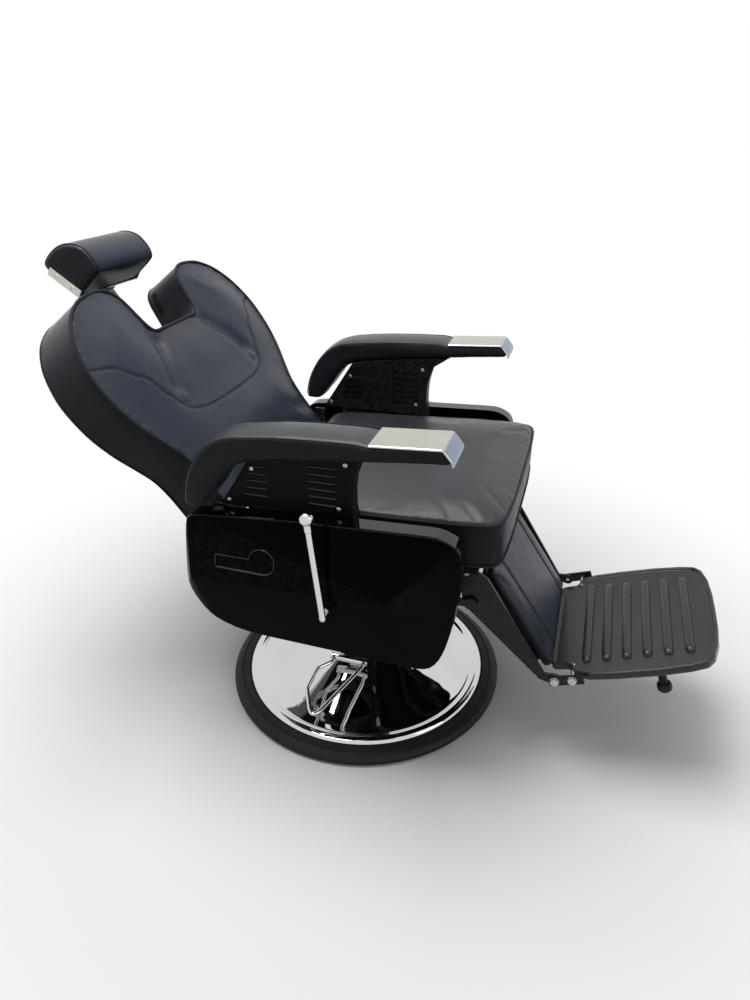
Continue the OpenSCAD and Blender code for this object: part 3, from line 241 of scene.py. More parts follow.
def ramp(x: float, low: float, high: float) -> float:
    """0 before low, 1 after high, and smooth between."""
    t = max(0.0, min(1.0, (x - low) / (high - low)))
    return t * t * (3 - 2 * t)


def placed(name: str, data: bpy.types.ID) -> bpy.types.Object:
    """A new object in the scene."""
    out = bpy.data.objects.new(name, data)
    bpy.context.scene.collection.objects.link(out)
    return out


def discard(piece: bpy.types.Object) -> None:
    """Remove an object and its mesh."""
    mesh = piece.data
    bpy.data.objects.remove(piece)
    bpy.data.meshes.remove(mesh)


def face_out(mesh: bpy.types.Mesh) -> None:
    """Turn every face of a closed mesh outwards."""
    bm = bmesh.new()
    bm.from_mesh(mesh)
    bmesh.ops.recalc_face_normals(bm, faces=bm.faces)
    bm.to_mesh(mesh)
    bm.free()


def make(name: str, points: Sequence[Sequence[float]], faces: Sequence[Sequence[int]], place: Place = CHAIR,
         sharp: float = 35.0) -> bpy.types.Object:
    """A closed mesh from local points in millimetres.

    Args:
        name: The piece's name.
        points: Its points in the place's own axes.
        faces: Its faces as rows of point numbers.
        place: The axes that the points are given in.
        sharp: Edges that turn by more than this many degrees look sharp.

    Returns:
        The object, at the origin, with its place in its mesh.
    """
    mesh = bpy.data.meshes.new(name)
    mesh.from_pydata([place.at(p) for p in points], [], [list(f) for f in faces])
    bm = bmesh.new()
    bm.from_mesh(mesh)
    bmesh.ops.remove_doubles(bm, verts=bm.verts, dist=2e-5)
    bmesh.ops.dissolve_degenerate(bm, edges=bm.edges, dist=1e-6)
    bmesh.ops.recalc_face_normals(bm, faces=bm.faces)
    bm.to_mesh(mesh)
    bm.free()
    shade(mesh, sharp)
    return placed(name, mesh)


def shade(mesh: bpy.types.Mesh, sharp: float) -> None:
    """Smooth shading, with edges above an angle in degrees left sharp."""
    mesh.shade_smooth()
    mesh.set_sharp_from_angle(angle=math.radians(sharp))


def settled(piece: bpy.types.Object, sharp: float | None = None) -> bpy.types.Object:
    """The piece with its modifiers worked into its mesh."""
    graph = bpy.context.evaluated_depsgraph_get()
    mesh = bpy.data.meshes.new_from_object(piece.evaluated_get(graph), depsgraph=graph)
    old = piece.data
    piece.modifiers.clear()
    piece.data = mesh
    if old.users == 0:
        bpy.data.meshes.remove(old)
    mesh.name = piece.name
    if sharp is not None:
        shade(mesh, sharp)
    return piece


def bevelled(piece: bpy.types.Object, width: float, segments: int = 3, angle: float = 30.0,
             sharp: float = 60.0) -> bpy.types.Object:
    """The piece with its edges rounded by a width in millimetres."""
    mod = piece.modifiers.new("Round edges", "BEVEL")
    mod.width, mod.segments, mod.limit_method = width * MM, segments, "ANGLE"
    mod.angle_limit = math.radians(angle)
    mod.harden_normals = False
    return settled(piece, sharp)


def flat_faced(piece: bpy.types.Object) -> bpy.types.Object:
    """The piece with its large faces shaded flat, and only its rounded edges shaded as bends."""
    mod = piece.modifiers.new("Flat faces", "WEIGHTED_NORMAL")
    mod.mode, mod.weight, mod.keep_sharp = "FACE_AREA", 100, True
    return settled(piece)


def refined(piece: bpy.types.Object) -> None:
    """Split every face of a piece smoothly, once."""
    mod = piece.modifiers.new("Smooth", "SUBSURF")
    mod.levels = mod.render_levels = 1
    settled(piece, 60)


def joined(name: str, pieces: Sequence[bpy.types.Object]) -> bpy.types.Object:
    """Several pieces as one, in the finish of the first."""
    bm = bmesh.new()
    for p in pieces:
        bm.from_mesh(p.data)
    mesh = bpy.data.meshes.new(name)
    bm.to_mesh(mesh)
    bm.free()
    for material in pieces[0].data.materials:
        mesh.materials.append(material)
    for p in pieces:
        discard(p)
    return placed(name, mesh)


def twin(piece: bpy.types.Object) -> bpy.types.Object:
    """A mirror image of a left-hand piece across X = 0, with its faces pointing outwards."""
    mesh = piece.data.copy()
    mesh.transform(Matrix.Scale(-1, 4, (1, 0, 0)))
    mesh.flip_normals()
    return placed(piece.name.replace("_left", "_right"), mesh)


def on_side(piece: bpy.types.Object, side: str) -> bpy.types.Object:
    """A left-hand piece itself, or its mirror image for the right."""
    return piece if side == "left" else twin(piece)


def loft(rings: Sequence[Sequence[Sequence[float]]]) -> tuple[list[Sequence[float]], list[list[int]]]:
    """Points and faces of a skin over closed rings, with both ends closed."""
    n = len(rings[0])
    points = [p for ring in rings for p in ring]
    faces = [[j * n + i, j * n + (i + 1) % n, (j + 1) * n + (i + 1) % n, (j + 1) * n + i]
             for j in range(len(rings) - 1) for i in range(n)]
    for start in (0, (len(rings) - 1) * n):
        cap = tessellate_polygon([[Vector(p) for p in points[start:start + n]]])
        faces += [[start + i for i in corners] for corners in cap]
    return points, faces


def slab(outline: Sequence[Pair], low: float, high: float,
         axes: str = "xyz") -> tuple[list[Triple], list[list[int]]]:
    """Points and faces of an outline extruded from low to high.

    Args:
        outline: The outline in the first two named axes.
        low: Where it starts along the third.
        high: Where it ends.
        axes: The order of the axes, such as "yzx" for an outline in Y and Z.

    Returns:
        The points and the faces.
    """
    order = ["xyz".index(a) for a in axes]
    rings = []
    for level in (low, high):
        rings.append([tuple((u, v, level)[order.index(k)] for k in range(3)) for u, v in outline])
    return loft(rings)


def boxed(low: Triple, high: Triple) -> tuple[list[Triple], list[list[int]]]:
    """Points and faces of a straight block between two corners."""
    return slab([(low[0], low[1]), (high[0], low[1]), (high[0], high[1]), (low[0], high[1])], low[2], high[2])


def moved(piece: bpy.types.Object, place: Place, shift: Callable[[Vector], Triple]) -> None:
    """Move every point of a piece, by a rule given in a place's own axes and millimetres."""
    for v in piece.data.vertices:
        p = place.inside(v.co)
        d = shift(p)
        v.co = place.at((p.x + d[0], p.y + d[1], p.z + d[2]))
    piece.data.update()


def cut(piece: bpy.types.Object, tool: bpy.types.Object) -> None:
    """Cut a tool out of a piece, and remove the tool."""
    mod = piece.modifiers.new("Cut", "BOOLEAN")
    mod.operation, mod.object, mod.solver = "DIFFERENCE", tool, "EXACT"
    settled(piece, 35)
    discard(tool)


class Tree:
    """A node tree under construction."""

    def __init__(self, group: bpy.types.NodeTree) -> None:
        """Start on an empty tree."""
        self.group = group

    @classmethod
    def named(cls, name: str, kind: str, takes: Sequence[tuple[str, str, Any]],
              gives: Sequence[tuple[str, str]]) -> "Tree":
        """A new node group with named inputs and outputs.

        Args:
            name: The group's name.
            kind: "Geometry" or "Shader".
            takes: Each input's name, socket kind and default value, or None.
            gives: Each output's name and socket kind.

        Returns:
            The tree, with its input node as attribute `given`.
        """
        group = bpy.data.node_groups.new(name, f"{kind}NodeTree")
        for label, socket, value in takes:
            made = group.interface.new_socket(label, in_out="INPUT", socket_type=f"NodeSocket{socket}")
            if value is not None:
                made.default_value = value
        for label, socket in gives:
            group.interface.new_socket(label, in_out="OUTPUT", socket_type=f"NodeSocket{socket}")
        tree = cls(group)
        tree.given = group.nodes.new("NodeGroupInput").outputs
        return tree

    @classmethod
    def growing(cls, name: str, *takes: tuple[str, str, Any]) -> "Tree":
        """A new geometry group that makes a shape from its host, its inputs and a material."""
        shape = ("Geometry", "Geometry")
        return cls.named(name, "Geometry", [(*shape, None), *takes, ("Material", "Material", None)], [shape])

    def add(self, kind: str, inputs: dict[str | int, Any] | None = None, out: str | int = 0,
            **settings: Any) -> bpy.types.NodeSocket:
        """A node, with its settings and its inputs, as sockets to link or values to keep.

        Args:
            kind: The node's type.
            inputs: What goes into each input, by name or number.
            out: Which output is wanted.
            **settings: The node's own settings.

        Returns:
            The wanted output socket.
        """
        node = self.group.nodes.new(kind)
        for key, value in settings.items():
            setattr(node, key, value)
        for key, value in (inputs or {}).items():
            if isinstance(value, bpy.types.NodeSocket):
                self.group.links.new(value, node.inputs[key])
            else:
                node.inputs[key].default_value = value
        return node.outputs[out] if len(node.outputs) else None

    def maths(self, operation: str, a: Any, b: Any = 0.0) -> bpy.types.NodeSocket:
        """One step of arithmetic on single values."""
        return self.add("ShaderNodeMath", {0: a, 1: b}, operation=operation)

    def split(self, vector: bpy.types.NodeSocket) -> Any:
        """The single values of a vector, by the names of its axes."""
        node = self.group.nodes.new("ShaderNodeSeparateXYZ")
        self.group.links.new(vector, node.inputs[0])
        return node.outputs

    def between(self, value: Any, low: Any, high: Any, kind: str = "LINEAR") -> bpy.types.NodeSocket:
        """0 up to low, 1 from high, and a ramp between."""
        return self.add("ShaderNodeMapRange", {"Value": value, "From Min": low, "From Max": high},
                        interpolation_type=kind)

    def blend(self, share: Any, a: Any, b: Any) -> bpy.types.NodeSocket:
        """Two colours mixed by a share; a plain colour is three numbers."""
        first, second = ((*c, 1.0) if isinstance(c, tuple) else c for c in (a, b))
        return self.add("ShaderNodeMix", {"Factor": share, 6: first, 7: second}, out=2, data_type="RGBA")

    def clouds(self, place: Any, scale: Any, detail: float, **more: Any) -> bpy.types.NodeSocket:
        """Smooth noise over a surface."""
        return self.add("ShaderNodeTexNoise", {"Vector": place, "Scale": scale, "Detail": detail, **more})

    def copies(self, points: Any, shape: Any, **more: Any) -> bpy.types.NodeSocket:
        """A copy of a shape at each point, as one real mesh."""
        each = self.add("GeometryNodeInstanceOnPoints", {"Points": points, "Instance": shape, **more})
        return self.add("GeometryNodeRealizeInstances", {0: each})

    def put_out(self, **values: Any) -> bpy.types.NodeTree:
        """Link the group's outputs, named with _ for a space, and return the finished group."""
        node = self.group.nodes.new("NodeGroupOutput")
        for key, value in values.items():
            self.group.links.new(value, node.inputs[key.replace("_", " ")])
        return self.group

    def put_shape(self, shape: bpy.types.NodeSocket, smooth: bool = True) -> bpy.types.NodeTree:
        """Give a shape the group's material, link it as the output, and return the finished group."""
        if smooth:
            shape = self.add("GeometryNodeSetShadeSmooth", {"Geometry": shape})
        return self.put_out(Geometry=self.add("GeometryNodeSetMaterial",
                                              {"Geometry": shape, "Material": self.given["Material"]}))


def piping_tree() -> bpy.types.NodeTree:
    """A round cord that follows the host's line of edges."""
    t = Tree.growing("Piping", ("Radius", "Float", 0.003), ("Sides", "Int", 10))
    line = t.add("GeometryNodeMeshToCurve", {"Mesh": t.given["Geometry"]})
    ring = t.add("GeometryNodeCurvePrimitiveCircle",
                 {"Resolution": t.given["Sides"], "Radius": t.given["Radius"]})
    tube = t.add("GeometryNodeCurveToMesh", {"Curve": line, "Profile Curve": ring, "Fill Caps": True})
    return t.put_shape(tube)


def stitch_tree() -> bpy.types.NodeTree:
    """Stitches at an even pitch along the host's lines of edges."""
    t = Tree.growing("Stitches", ("Pitch", "Float", 0.005), ("Length", "Float", 0.0034),
                     ("Thickness", "Float", 0.0009))
    line = t.add("GeometryNodeMeshToCurve", {"Mesh": t.given["Geometry"]})
    marks = t.add("GeometryNodeResampleCurve", {"Curve": line, "Length": t.given["Pitch"]}, mode="LENGTH")
    bead = t.add("GeometryNodeMeshUVSphere", {"Segments": 6, "Rings": 4, "Radius": 0.5})
    size = t.add("ShaderNodeCombineXYZ", {0: t.given["Thickness"], 1: t.given["Thickness"],
                                          2: t.given["Length"]})
    along = t.add("FunctionNodeAlignRotationToVector", {"Vector": t.add("GeometryNodeInputTangent")},
                  axis="Z")
    return t.put_shape(t.copies(marks, bead, Rotation=along, Scale=size))


def fastener_tree() -> bpy.types.NodeTree:
    """One head at each of the host's points, along an axis and turned at random about it."""
    t = Tree.growing("Fasteners", ("Head", "Object", None), ("Axis", "Vector", (1.0, 0.0, 0.0)),
                     ("Seed", "Int", 3))
    head = t.add("GeometryNodeObjectInfo", {"Object": t.given["Head"]}, out="Geometry")
    stand = t.add("FunctionNodeAlignRotationToVector", {"Vector": t.given["Axis"]}, axis="Z")
    turn = t.add("FunctionNodeRandomValue", {3: math.tau, "Seed": t.given["Seed"]}, out=1, data_type="FLOAT")
    about = t.add("FunctionNodeAxisAngleToRotation", {"Axis": (0.0, 0.0, 1.0), "Angle": turn})
    both = t.add("FunctionNodeRotateRotation", {"Rotation": stand, "Rotate By": about},
                 rotation_space="LOCAL")
    return t.put_shape(t.copies(t.given["Geometry"], head, Rotation=both), smooth=False)


def row_tree() -> bpy.types.NodeTree:
    """Copies of one shape in a straight row, each a little longer or shorter than the last."""
    t = Tree.growing("Row", ("Shape", "Object", None), ("Count", "Int", 6), ("Start", "Vector", None),
                     ("Step", "Vector", None), ("Growth", "Vector", None))
    shape = t.add("GeometryNodeObjectInfo", {"Object": t.given["Shape"]}, out="Geometry")
    line = t.add("GeometryNodeMeshLine", {"Count": t.given["Count"], "Start Location": t.given["Start"],
                                          "Offset": t.given["Step"]})
    grow = t.add("ShaderNodeVectorMath", {0: t.given["Growth"], "Scale": t.add("GeometryNodeInputIndex")},
                 operation="SCALE")
    size = t.add("ShaderNodeVectorMath", {0: grow, 1: (1.0, 1.0, 1.0)}, operation="ADD")
    return t.put_shape(t.copies(line, shape, Scale=size), smooth=False)


def turned_tree() -> bpy.types.NodeTree:
    """The host's closed outline, in X and Z, turned about Z."""
    t = Tree.growing("Turned", ("Corners", "Int", 8), ("Segments", "Int", 192))
    wide = t.maths("ADD", t.given["Segments"], 1.0)
    high = t.maths("ADD", t.given["Corners"], 1.0)
    grid = t.add("GeometryNodeMeshGrid", {"Size X": 1.0, "Size Y": 1.0, "Vertices X": wide,
                                          "Vertices Y": high})
    place = t.add("GeometryNodeInputPosition")
    share = t.split(place)
    turn = t.maths("MULTIPLY", t.maths("ADD", share["X"], 0.5), math.tau)
    step = t.maths("ROUND", t.maths("MULTIPLY", t.maths("ADD", share["Y"], 0.5), t.given["Corners"]))
    corner = t.maths("MODULO", step, t.given["Corners"])
    at = t.add("GeometryNodeSampleIndex", {"Geometry": t.given["Geometry"], "Value": place, "Index": corner},
               data_type="FLOAT_VECTOR")
    line = t.split(at)
    x = t.maths("MULTIPLY", line["X"], t.maths("COSINE", turn))
    y = t.maths("MULTIPLY", line["X"], t.maths("SINE", turn))
    to = t.add("ShaderNodeCombineXYZ", {0: x, 1: y, 2: line["Z"]})
    shaped = t.add("GeometryNodeSetPosition", {"Geometry": grid, "Position": to})
    return t.put_shape(t.add("GeometryNodeMergeByDistance", {"Geometry": shaped, "Distance": 1e-6}))


class Grower(Enum):
    """The Geometry Nodes trees that make what repeats, follows a line or turns."""

    PIPING = "Piping"
    STITCHES = "Stitches"
    FASTENERS = "Fasteners"
    ROW = "Row"
    TURNED = "Turned"

    def tree(self) -> bpy.types.NodeTree:
        """The tree, built the first time that it is needed."""
        makers = {Grower.PIPING: piping_tree, Grower.STITCHES: stitch_tree, Grower.FASTENERS: fastener_tree,
                  Grower.ROW: row_tree, Grower.TURNED: turned_tree}
        return bpy.data.node_groups.get(self.value) or makers[self]()

    def grow(self, name: str, hosts: Sequence[Sequence[Vector]], closed: bool = False, sharp: float = 60.0,
             **values: Any) -> bpy.types.Object:
        """A plain mesh made by the tree.

        Args:
            name: The piece's name.
            hosts: Lines of places in metres that the tree works on; for fasteners, single points.
            closed: Whether each line returns to its first place.
            sharp: Edges that turn by more than this many degrees look sharp.
            **values: The tree's inputs, by name.

        Returns:
            The finished piece.
        """
        mesh = bpy.data.meshes.new(name)
        points, edges = [], []
        for line in hosts:
            n = len(points)
            points += list(line)
            if self is not Grower.FASTENERS:
                edges += [(n + i, n + i + 1) for i in range(len(line) - 1)]
                edges += [(n + len(line) - 1, n)] if closed else []
        mesh.from_pydata(points, edges, [])
        piece = placed(name, mesh)
        tree = self.tree()
        mod = piece.modifiers.new(self.value, "NODES")
        mod.node_group = tree
        ports = {s.name: s.identifier for s in tree.interface.items_tree if s.in_out == "INPUT"}
        for key, value in values.items():
            mod[ports[key]] = value
        piece.update_tag()
        bpy.context.view_layer.update()
        settled(piece, sharp)
        face_out(piece.data)
        return piece


def grain_group() -> bpy.types.NodeTree:
    """Pressed pebble grain with fine creases, and slow changes of tone over the surface."""
    t = Tree.named("Pebble grain", "Shader", [("Cell per m", "Float", 900.0), ("Crease per m", "Float", 60.0),
                                              ("Crease share", "Float", 0.35)],
                   [("Height", "Float"), ("Tone", "Float")])
    place = t.add("ShaderNodeTexCoord", out="Object")
    bend = t.add("ShaderNodeTexNoise", {"Vector": place, "Scale": 300.0, "Detail": 2.0}, out="Color")
    off = t.add("ShaderNodeVectorMath", {0: bend, "Scale": 0.0009}, operation="SCALE")
    shifted = t.add("ShaderNodeVectorMath", {0: place, 1: off}, operation="ADD")
    cell = t.add("ShaderNodeTexVoronoi", {"Vector": shifted, "Scale": t.given["Cell per m"]}, out="Distance",
                 feature="DISTANCE_TO_EDGE")
    pebble = t.between(cell, 0.0, 0.22, "SMOOTHSTEP")
    crease = t.clouds(place, t.given["Crease per m"], 5.0, Roughness=0.6)
    height = t.add("ShaderNodeMix", {"Factor": t.given["Crease share"], 2: pebble, 3: crease},
                   data_type="FLOAT")
    slow = t.clouds(place, 7.0, 4.0, Roughness=0.55)
    return t.put_out(Height=height, Tone=t.between(slow, 0.3, 0.7))


def brush_group() -> bpy.types.NodeTree:
    """Fine straight lines of a brushed sheet, along the local X, and slow changes of tone."""
    t = Tree.named("Brushing", "Shader", [("Line scale", "Vector", (8.0, 900.0, 900.0))],
                   [("Height", "Float"), ("Tone", "Float")])
    place = t.add("ShaderNodeTexCoord", out="Object")
    lined = t.add("ShaderNodeVectorMath", {0: place, 1: t.given["Line scale"]}, operation="MULTIPLY")
    lines = t.clouds(lined, 1.0, 4.0, Roughness=0.7)
    return t.put_out(Height=lines, Tone=t.between(t.clouds(place, 22.0, 3.0), 0.3, 0.7))


def wear_group() -> bpy.types.NodeTree:
    """Edges that hands and cloths have rubbed: a broken mask along outward bends."""
    t = Tree.named("Edge wear", "Shader", [("Amount", "Float", 0.5)], [("Mask", "Float")])
    bend = t.add("ShaderNodeNewGeometry", out="Pointiness")
    edge = t.between(bend, 0.51, 0.56)
    broken = t.clouds(t.add("ShaderNodeTexCoord", out="Object"), 90.0, 5.0, Roughness=0.7)
    kept = t.between(broken, 0.4, 0.6)
    return t.put_out(Mask=t.maths("MULTIPLY", t.maths("MULTIPLY", edge, kept), t.given["Amount"]))


def dust_group() -> bpy.types.NodeTree:
    """A thin film of dust on what faces up, and faint smears everywhere."""
    t = Tree.named("Dust and smears", "Shader", [("Dust", "Float", 0.1), ("Smear per m", "Float", 14.0)],
                   [("Dust", "Float"), ("Smear", "Float")])
    up = t.split(t.add("ShaderNodeNewGeometry", out="Normal"))["Z"]
    place = t.add("ShaderNodeTexCoord", out="Object")
    film = t.between(t.clouds(place, 240.0, 4.0, Roughness=0.8), 0.42, 0.72)
    facing = t.between(up, 0.2, 1.0)
    dust = t.maths("MULTIPLY", t.maths("MULTIPLY", film, facing), t.given["Dust"])
    smear = t.clouds(place, t.given["Smear per m"], 6.0, Roughness=0.62, Distortion=0.6)
    return t.put_out(Dust=dust, Smear=t.between(smear, 0.35, 0.68))


def lean_group() -> bpy.types.NodeTree:
    """How far a face leans down or forward, and how far it faces up, in the piece's own axes."""
    t = Tree.named("Lean", "Shader", [("From", "Float", 0.06), ("To", "Float", 0.2), ("Down", "Float", 1.0)],
                   [("Leaning", "Float"), ("Facing up", "Float")])
    normal = t.split(t.add("ShaderNodeTexCoord", out="Normal"))
    forward, down = (t.maths("MULTIPLY", normal[axis], -1.0) for axis in "YZ")
    lean = t.maths("ADD", forward, t.maths("MULTIPLY", down, t.given["Down"]))
    return t.put_out(Leaning=t.between(lean, t.given["From"], t.given["To"], "SMOOTHSTEP"),
                     Facing_up=t.between(normal["Z"], 0.15, 0.85, "SMOOTHSTEP"))


DUST = (0.32, 0.31, 0.3)


class Surface(Enum):
    """The texture that a finish has close up."""

    GRAIN = "Pebble grain"
    BRUSHED = "Brushing"


@dataclass(frozen=True)
class Finish:
    """How a surface looks.

    Args:
        name: The finish in plain words.
        colour: Its colour, linear.
        tone: The colour that slow changes lead to.
        rough: Its lowest and highest roughness.
        metal: Whether it is bare metal.
        cell: How many grain cells or creases go to a metre.
        relief: The depth of its texture in millimetres.
        surface: Which texture it has.
        worn: The colour of rubbed edges.
        wear: How much of the edges is rubbed.
        dust: How thick the dust is.
        polish: How strong the polish is on what faces up, and how rough that polish is.
        painted_reflection: A painted reflection: the colour of faces that lean down or forward, if they
            differ.
        lean: From what lean to what lean the painted reflection comes in, and how much leaning down counts.
        specular: The specular level.
        lines: How a brushed sheet's pattern is stretched.
    """

    name: str
    colour: Colour
    tone: Colour
    rough: Pair
    metal: float = 0.0
    cell: Pair = (900.0, 60.0)
    relief: float = 0.1
    surface: Surface = Surface.GRAIN
    worn: Colour = (0.05, 0.05, 0.05)
    wear: float = 0.0
    dust: float = 0.05
    polish: Pair = (0.0, 0.04)
    painted_reflection: Colour | None = None
    lean: Triple = (0.06, 0.2, 1.0)
    specular: float = 0.5
    lines: Triple = (8.0, 900.0, 900.0)

    def group(self, tree: Tree, name: str, maker: Callable[[], bpy.types.NodeTree],
              inputs: dict[str, Any]) -> bpy.types.Node:
        """One of the shared effects, with this finish's values."""
        node = tree.group.nodes.new("ShaderNodeGroup")
        node.node_tree = bpy.data.node_groups.get(name) or maker()
        for key, value in inputs.items():
            node.inputs[key].default_value = value
        return node

    def material(self) -> bpy.types.Material:
        """The material, made the first time that it is needed."""
        if self.name in bpy.data.materials:
            return bpy.data.materials[self.name]
        made = bpy.data.materials.new(self.name)
        made.use_nodes = True
        made.diffuse_color = (*self.colour, 1.0)
        tree = Tree(made.node_tree)
        shader = next(n for n in made.node_tree.nodes if n.type == "BSDF_PRINCIPLED")
        if self.surface is Surface.BRUSHED:
            texture = self.group(tree, "Brushing", brush_group, {"Line scale": self.lines})
        else:
            texture = self.group(tree, "Pebble grain", grain_group,
                                 {"Cell per m": self.cell[0], "Crease per m": self.cell[1]})
        marks = self.group(tree, "Dust and smears", dust_group, {"Dust": self.dust})
        colour = tree.blend(texture.outputs["Tone"], self.colour, self.tone)
        lean = self.group(tree, "Lean", lean_group, dict(zip(("From", "To", "Down"), self.lean)))
        # Painted reflection: faces that lean down or forward take another colour, standing in for what they
        # reflect.
        if self.painted_reflection is not None:
            colour = tree.blend(lean.outputs["Leaning"], colour, self.painted_reflection)
        if self.wear > 0:
            worn = self.group(tree, "Edge wear", wear_group, {"Amount": self.wear})
            colour = tree.blend(worn.outputs["Mask"], colour, self.worn)
        colour = tree.blend(marks.outputs["Dust"], colour, DUST)
        rough = tree.add("ShaderNodeMapRange", {"Value": marks.outputs["Smear"], "To Min": self.rough[0],
                                                "To Max": self.rough[1]})
        bump = tree.add("ShaderNodeBump", {"Strength": 1.0, "Distance": self.relief * MM,
                                           "Height": texture.outputs["Height"]})
        for key, socket in (("Base Color", colour), ("Roughness", rough), ("Normal", bump)):
            made.node_tree.links.new(socket, shader.inputs[key])
        shader.inputs["Metallic"].default_value = self.metal
        shader.inputs["Specular IOR Level"].default_value = self.specular
        shader.inputs["Coat Roughness"].default_value = self.polish[1]
        if self.polish[0] > 0:
            coat = tree.maths("MULTIPLY", lean.outputs["Facing up"], self.polish[0])
            made.node_tree.links.new(coat, shader.inputs["Coat Weight"])
        return made

    def on(self, piece: bpy.types.Object) -> None:
        """Give a piece this finish as its only material."""
        piece.data.materials.clear()
        piece.data.materials.append(self.material())


# Painted reflection: the leatherette's faces that face forward are painted a lighter blue.
LEATHER = Finish("Black leatherette", (0.017, 0.019, 0.025), (0.026, 0.027, 0.029), (0.34, 0.46),
                 cell=(820.0, 45.0), relief=0.11, dust=0.01, specular=0.09, polish=(0.55, 0.36),
                 painted_reflection=(0.023, 0.030, 0.049), lean=(0.25, 1.0, 0.0))
WELT = Finish("Leatherette piping", (0.018, 0.019, 0.024), (0.026, 0.028, 0.033), (0.5, 0.6),
              cell=(900.0, 80.0), relief=0.08, dust=0.01, specular=0.1)
THREAD = Finish("Black thread", (0.010, 0.010, 0.012), (0.016, 0.016, 0.018), (0.55, 0.7),
                cell=(3000.0, 900.0), relief=0.08, dust=0.02, specular=0.1)
# Painted reflection: the moulding's facets that lean down or forward are painted lighter, as if they
# reflected the floor.
GLOSS = Finish("Gloss black moulding", (0.0010, 0.0011, 0.0016), (0.0012, 0.0013, 0.0018), (0.05, 0.08),
               cell=(260.0, 9.0), relief=0.008, worn=(0.03, 0.03, 0.03), wear=0.3, dust=0.002, specular=0.02,
               polish=(0.9, 0.08), painted_reflection=(0.0105, 0.0105, 0.0112))
# Painted highlight: the pocket's lip is the same black moulding, painted a lighter grey so that it shows as a
# bright outline.
LIP_HIGHLIGHT = Finish("Moulded lip", (0.02, 0.02, 0.021), (0.028, 0.028, 0.029), (0.2, 0.3), relief=0.01, dust=0.01,
             specular=0.3, polish=(1.0, 0.1))
TEXTURED = Finish("Textured black moulding", (0.0045, 0.005, 0.0065), (0.007, 0.0075, 0.009), (0.36, 0.48),
                  cell=(1600.0, 300.0), relief=0.05, worn=(0.05, 0.05, 0.05), wear=0.4, dust=0.012,
                  specular=0.07)
# Painted highlight: the louvre hoods are the same black moulding, painted a lighter grey so that they show as
# bright lines.
RIDGE = Finish("Rubbed louvre ridges", (0.02, 0.02, 0.021), (0.03, 0.03, 0.031), (0.3, 0.42), relief=0.03,
               dust=0.02, specular=0.2, polish=(0.8, 0.3))
TRAY = Finish("Satin black metal tray", (0.014, 0.014, 0.014), (0.022, 0.022, 0.021), (0.18, 0.28),
              cell=(1400.0, 220.0), relief=0.03, worn=(0.09, 0.09, 0.09), wear=0.5, dust=0.02, specular=0.34)
PAINT = Finish("Black painted steel", (0.007, 0.007, 0.008), (0.011, 0.011, 0.012), (0.22, 0.34),
               cell=(420.0, 120.0), relief=0.03, worn=(0.09, 0.09, 0.09), wear=0.3, dust=0.03, specular=0.2)
RUBBER = Finish("Black rubber", (0.012, 0.012, 0.012), (0.017, 0.017, 0.017), (0.45, 0.6),
                cell=(1200.0, 200.0), relief=0.05, dust=0.03, specular=0.18)
CHROME = Finish("Polished chrome", (0.62, 0.63, 0.64), (0.57, 0.58, 0.59), (0.015, 0.05), metal=1.0,
                cell=(60.0, 7.0), relief=0.004, dust=0.004)
# Painted reflection: the steel's faces that face forward, such as each cap's nose, are painted a darker
# blue-grey.
BRUSHED = Finish("Brushed steel", (0.53, 0.515, 0.44), (0.47, 0.47, 0.44), (0.22, 0.3), metal=1.0,
                 surface=Surface.BRUSHED, relief=0.012, worn=(0.75, 0.74, 0.72), wear=0.2, dust=0.008,
                 painted_reflection=(0.23, 0.27, 0.36), lean=(0.3, 0.7, 0.0))
BAR_STEEL = Finish("Satin flat bar", (0.3, 0.3, 0.3), (0.22, 0.22, 0.22), (0.24, 0.36), metal=1.0,
                   surface=Surface.BRUSHED, relief=0.02, worn=(0.75, 0.75, 0.75), wear=0.5,
                   lines=(900.0, 900.0, 8.0))
ZINC = Finish("Zinc plated steel", (0.5, 0.5, 0.49), (0.38, 0.38, 0.375), (0.24, 0.4), metal=1.0,
              cell=(500.0, 90.0), relief=0.03, worn=(0.75, 0.75, 0.75), wear=0.4)
CLOTH = Finish("Black base cloth", (0.012, 0.012, 0.013), (0.018, 0.018, 0.019), (0.75, 0.85),
               cell=(2200.0, 60.0), relief=0.15, dust=0.04, specular=0.1)
IRON = Finish("Dark cast iron", (0.03, 0.03, 0.032), (0.05, 0.05, 0.05), (0.5, 0.65),
              cell=(700.0, 150.0), relief=0.12, worn=(0.16, 0.16, 0.16), wear=0.4, dust=0.06, specular=0.25)


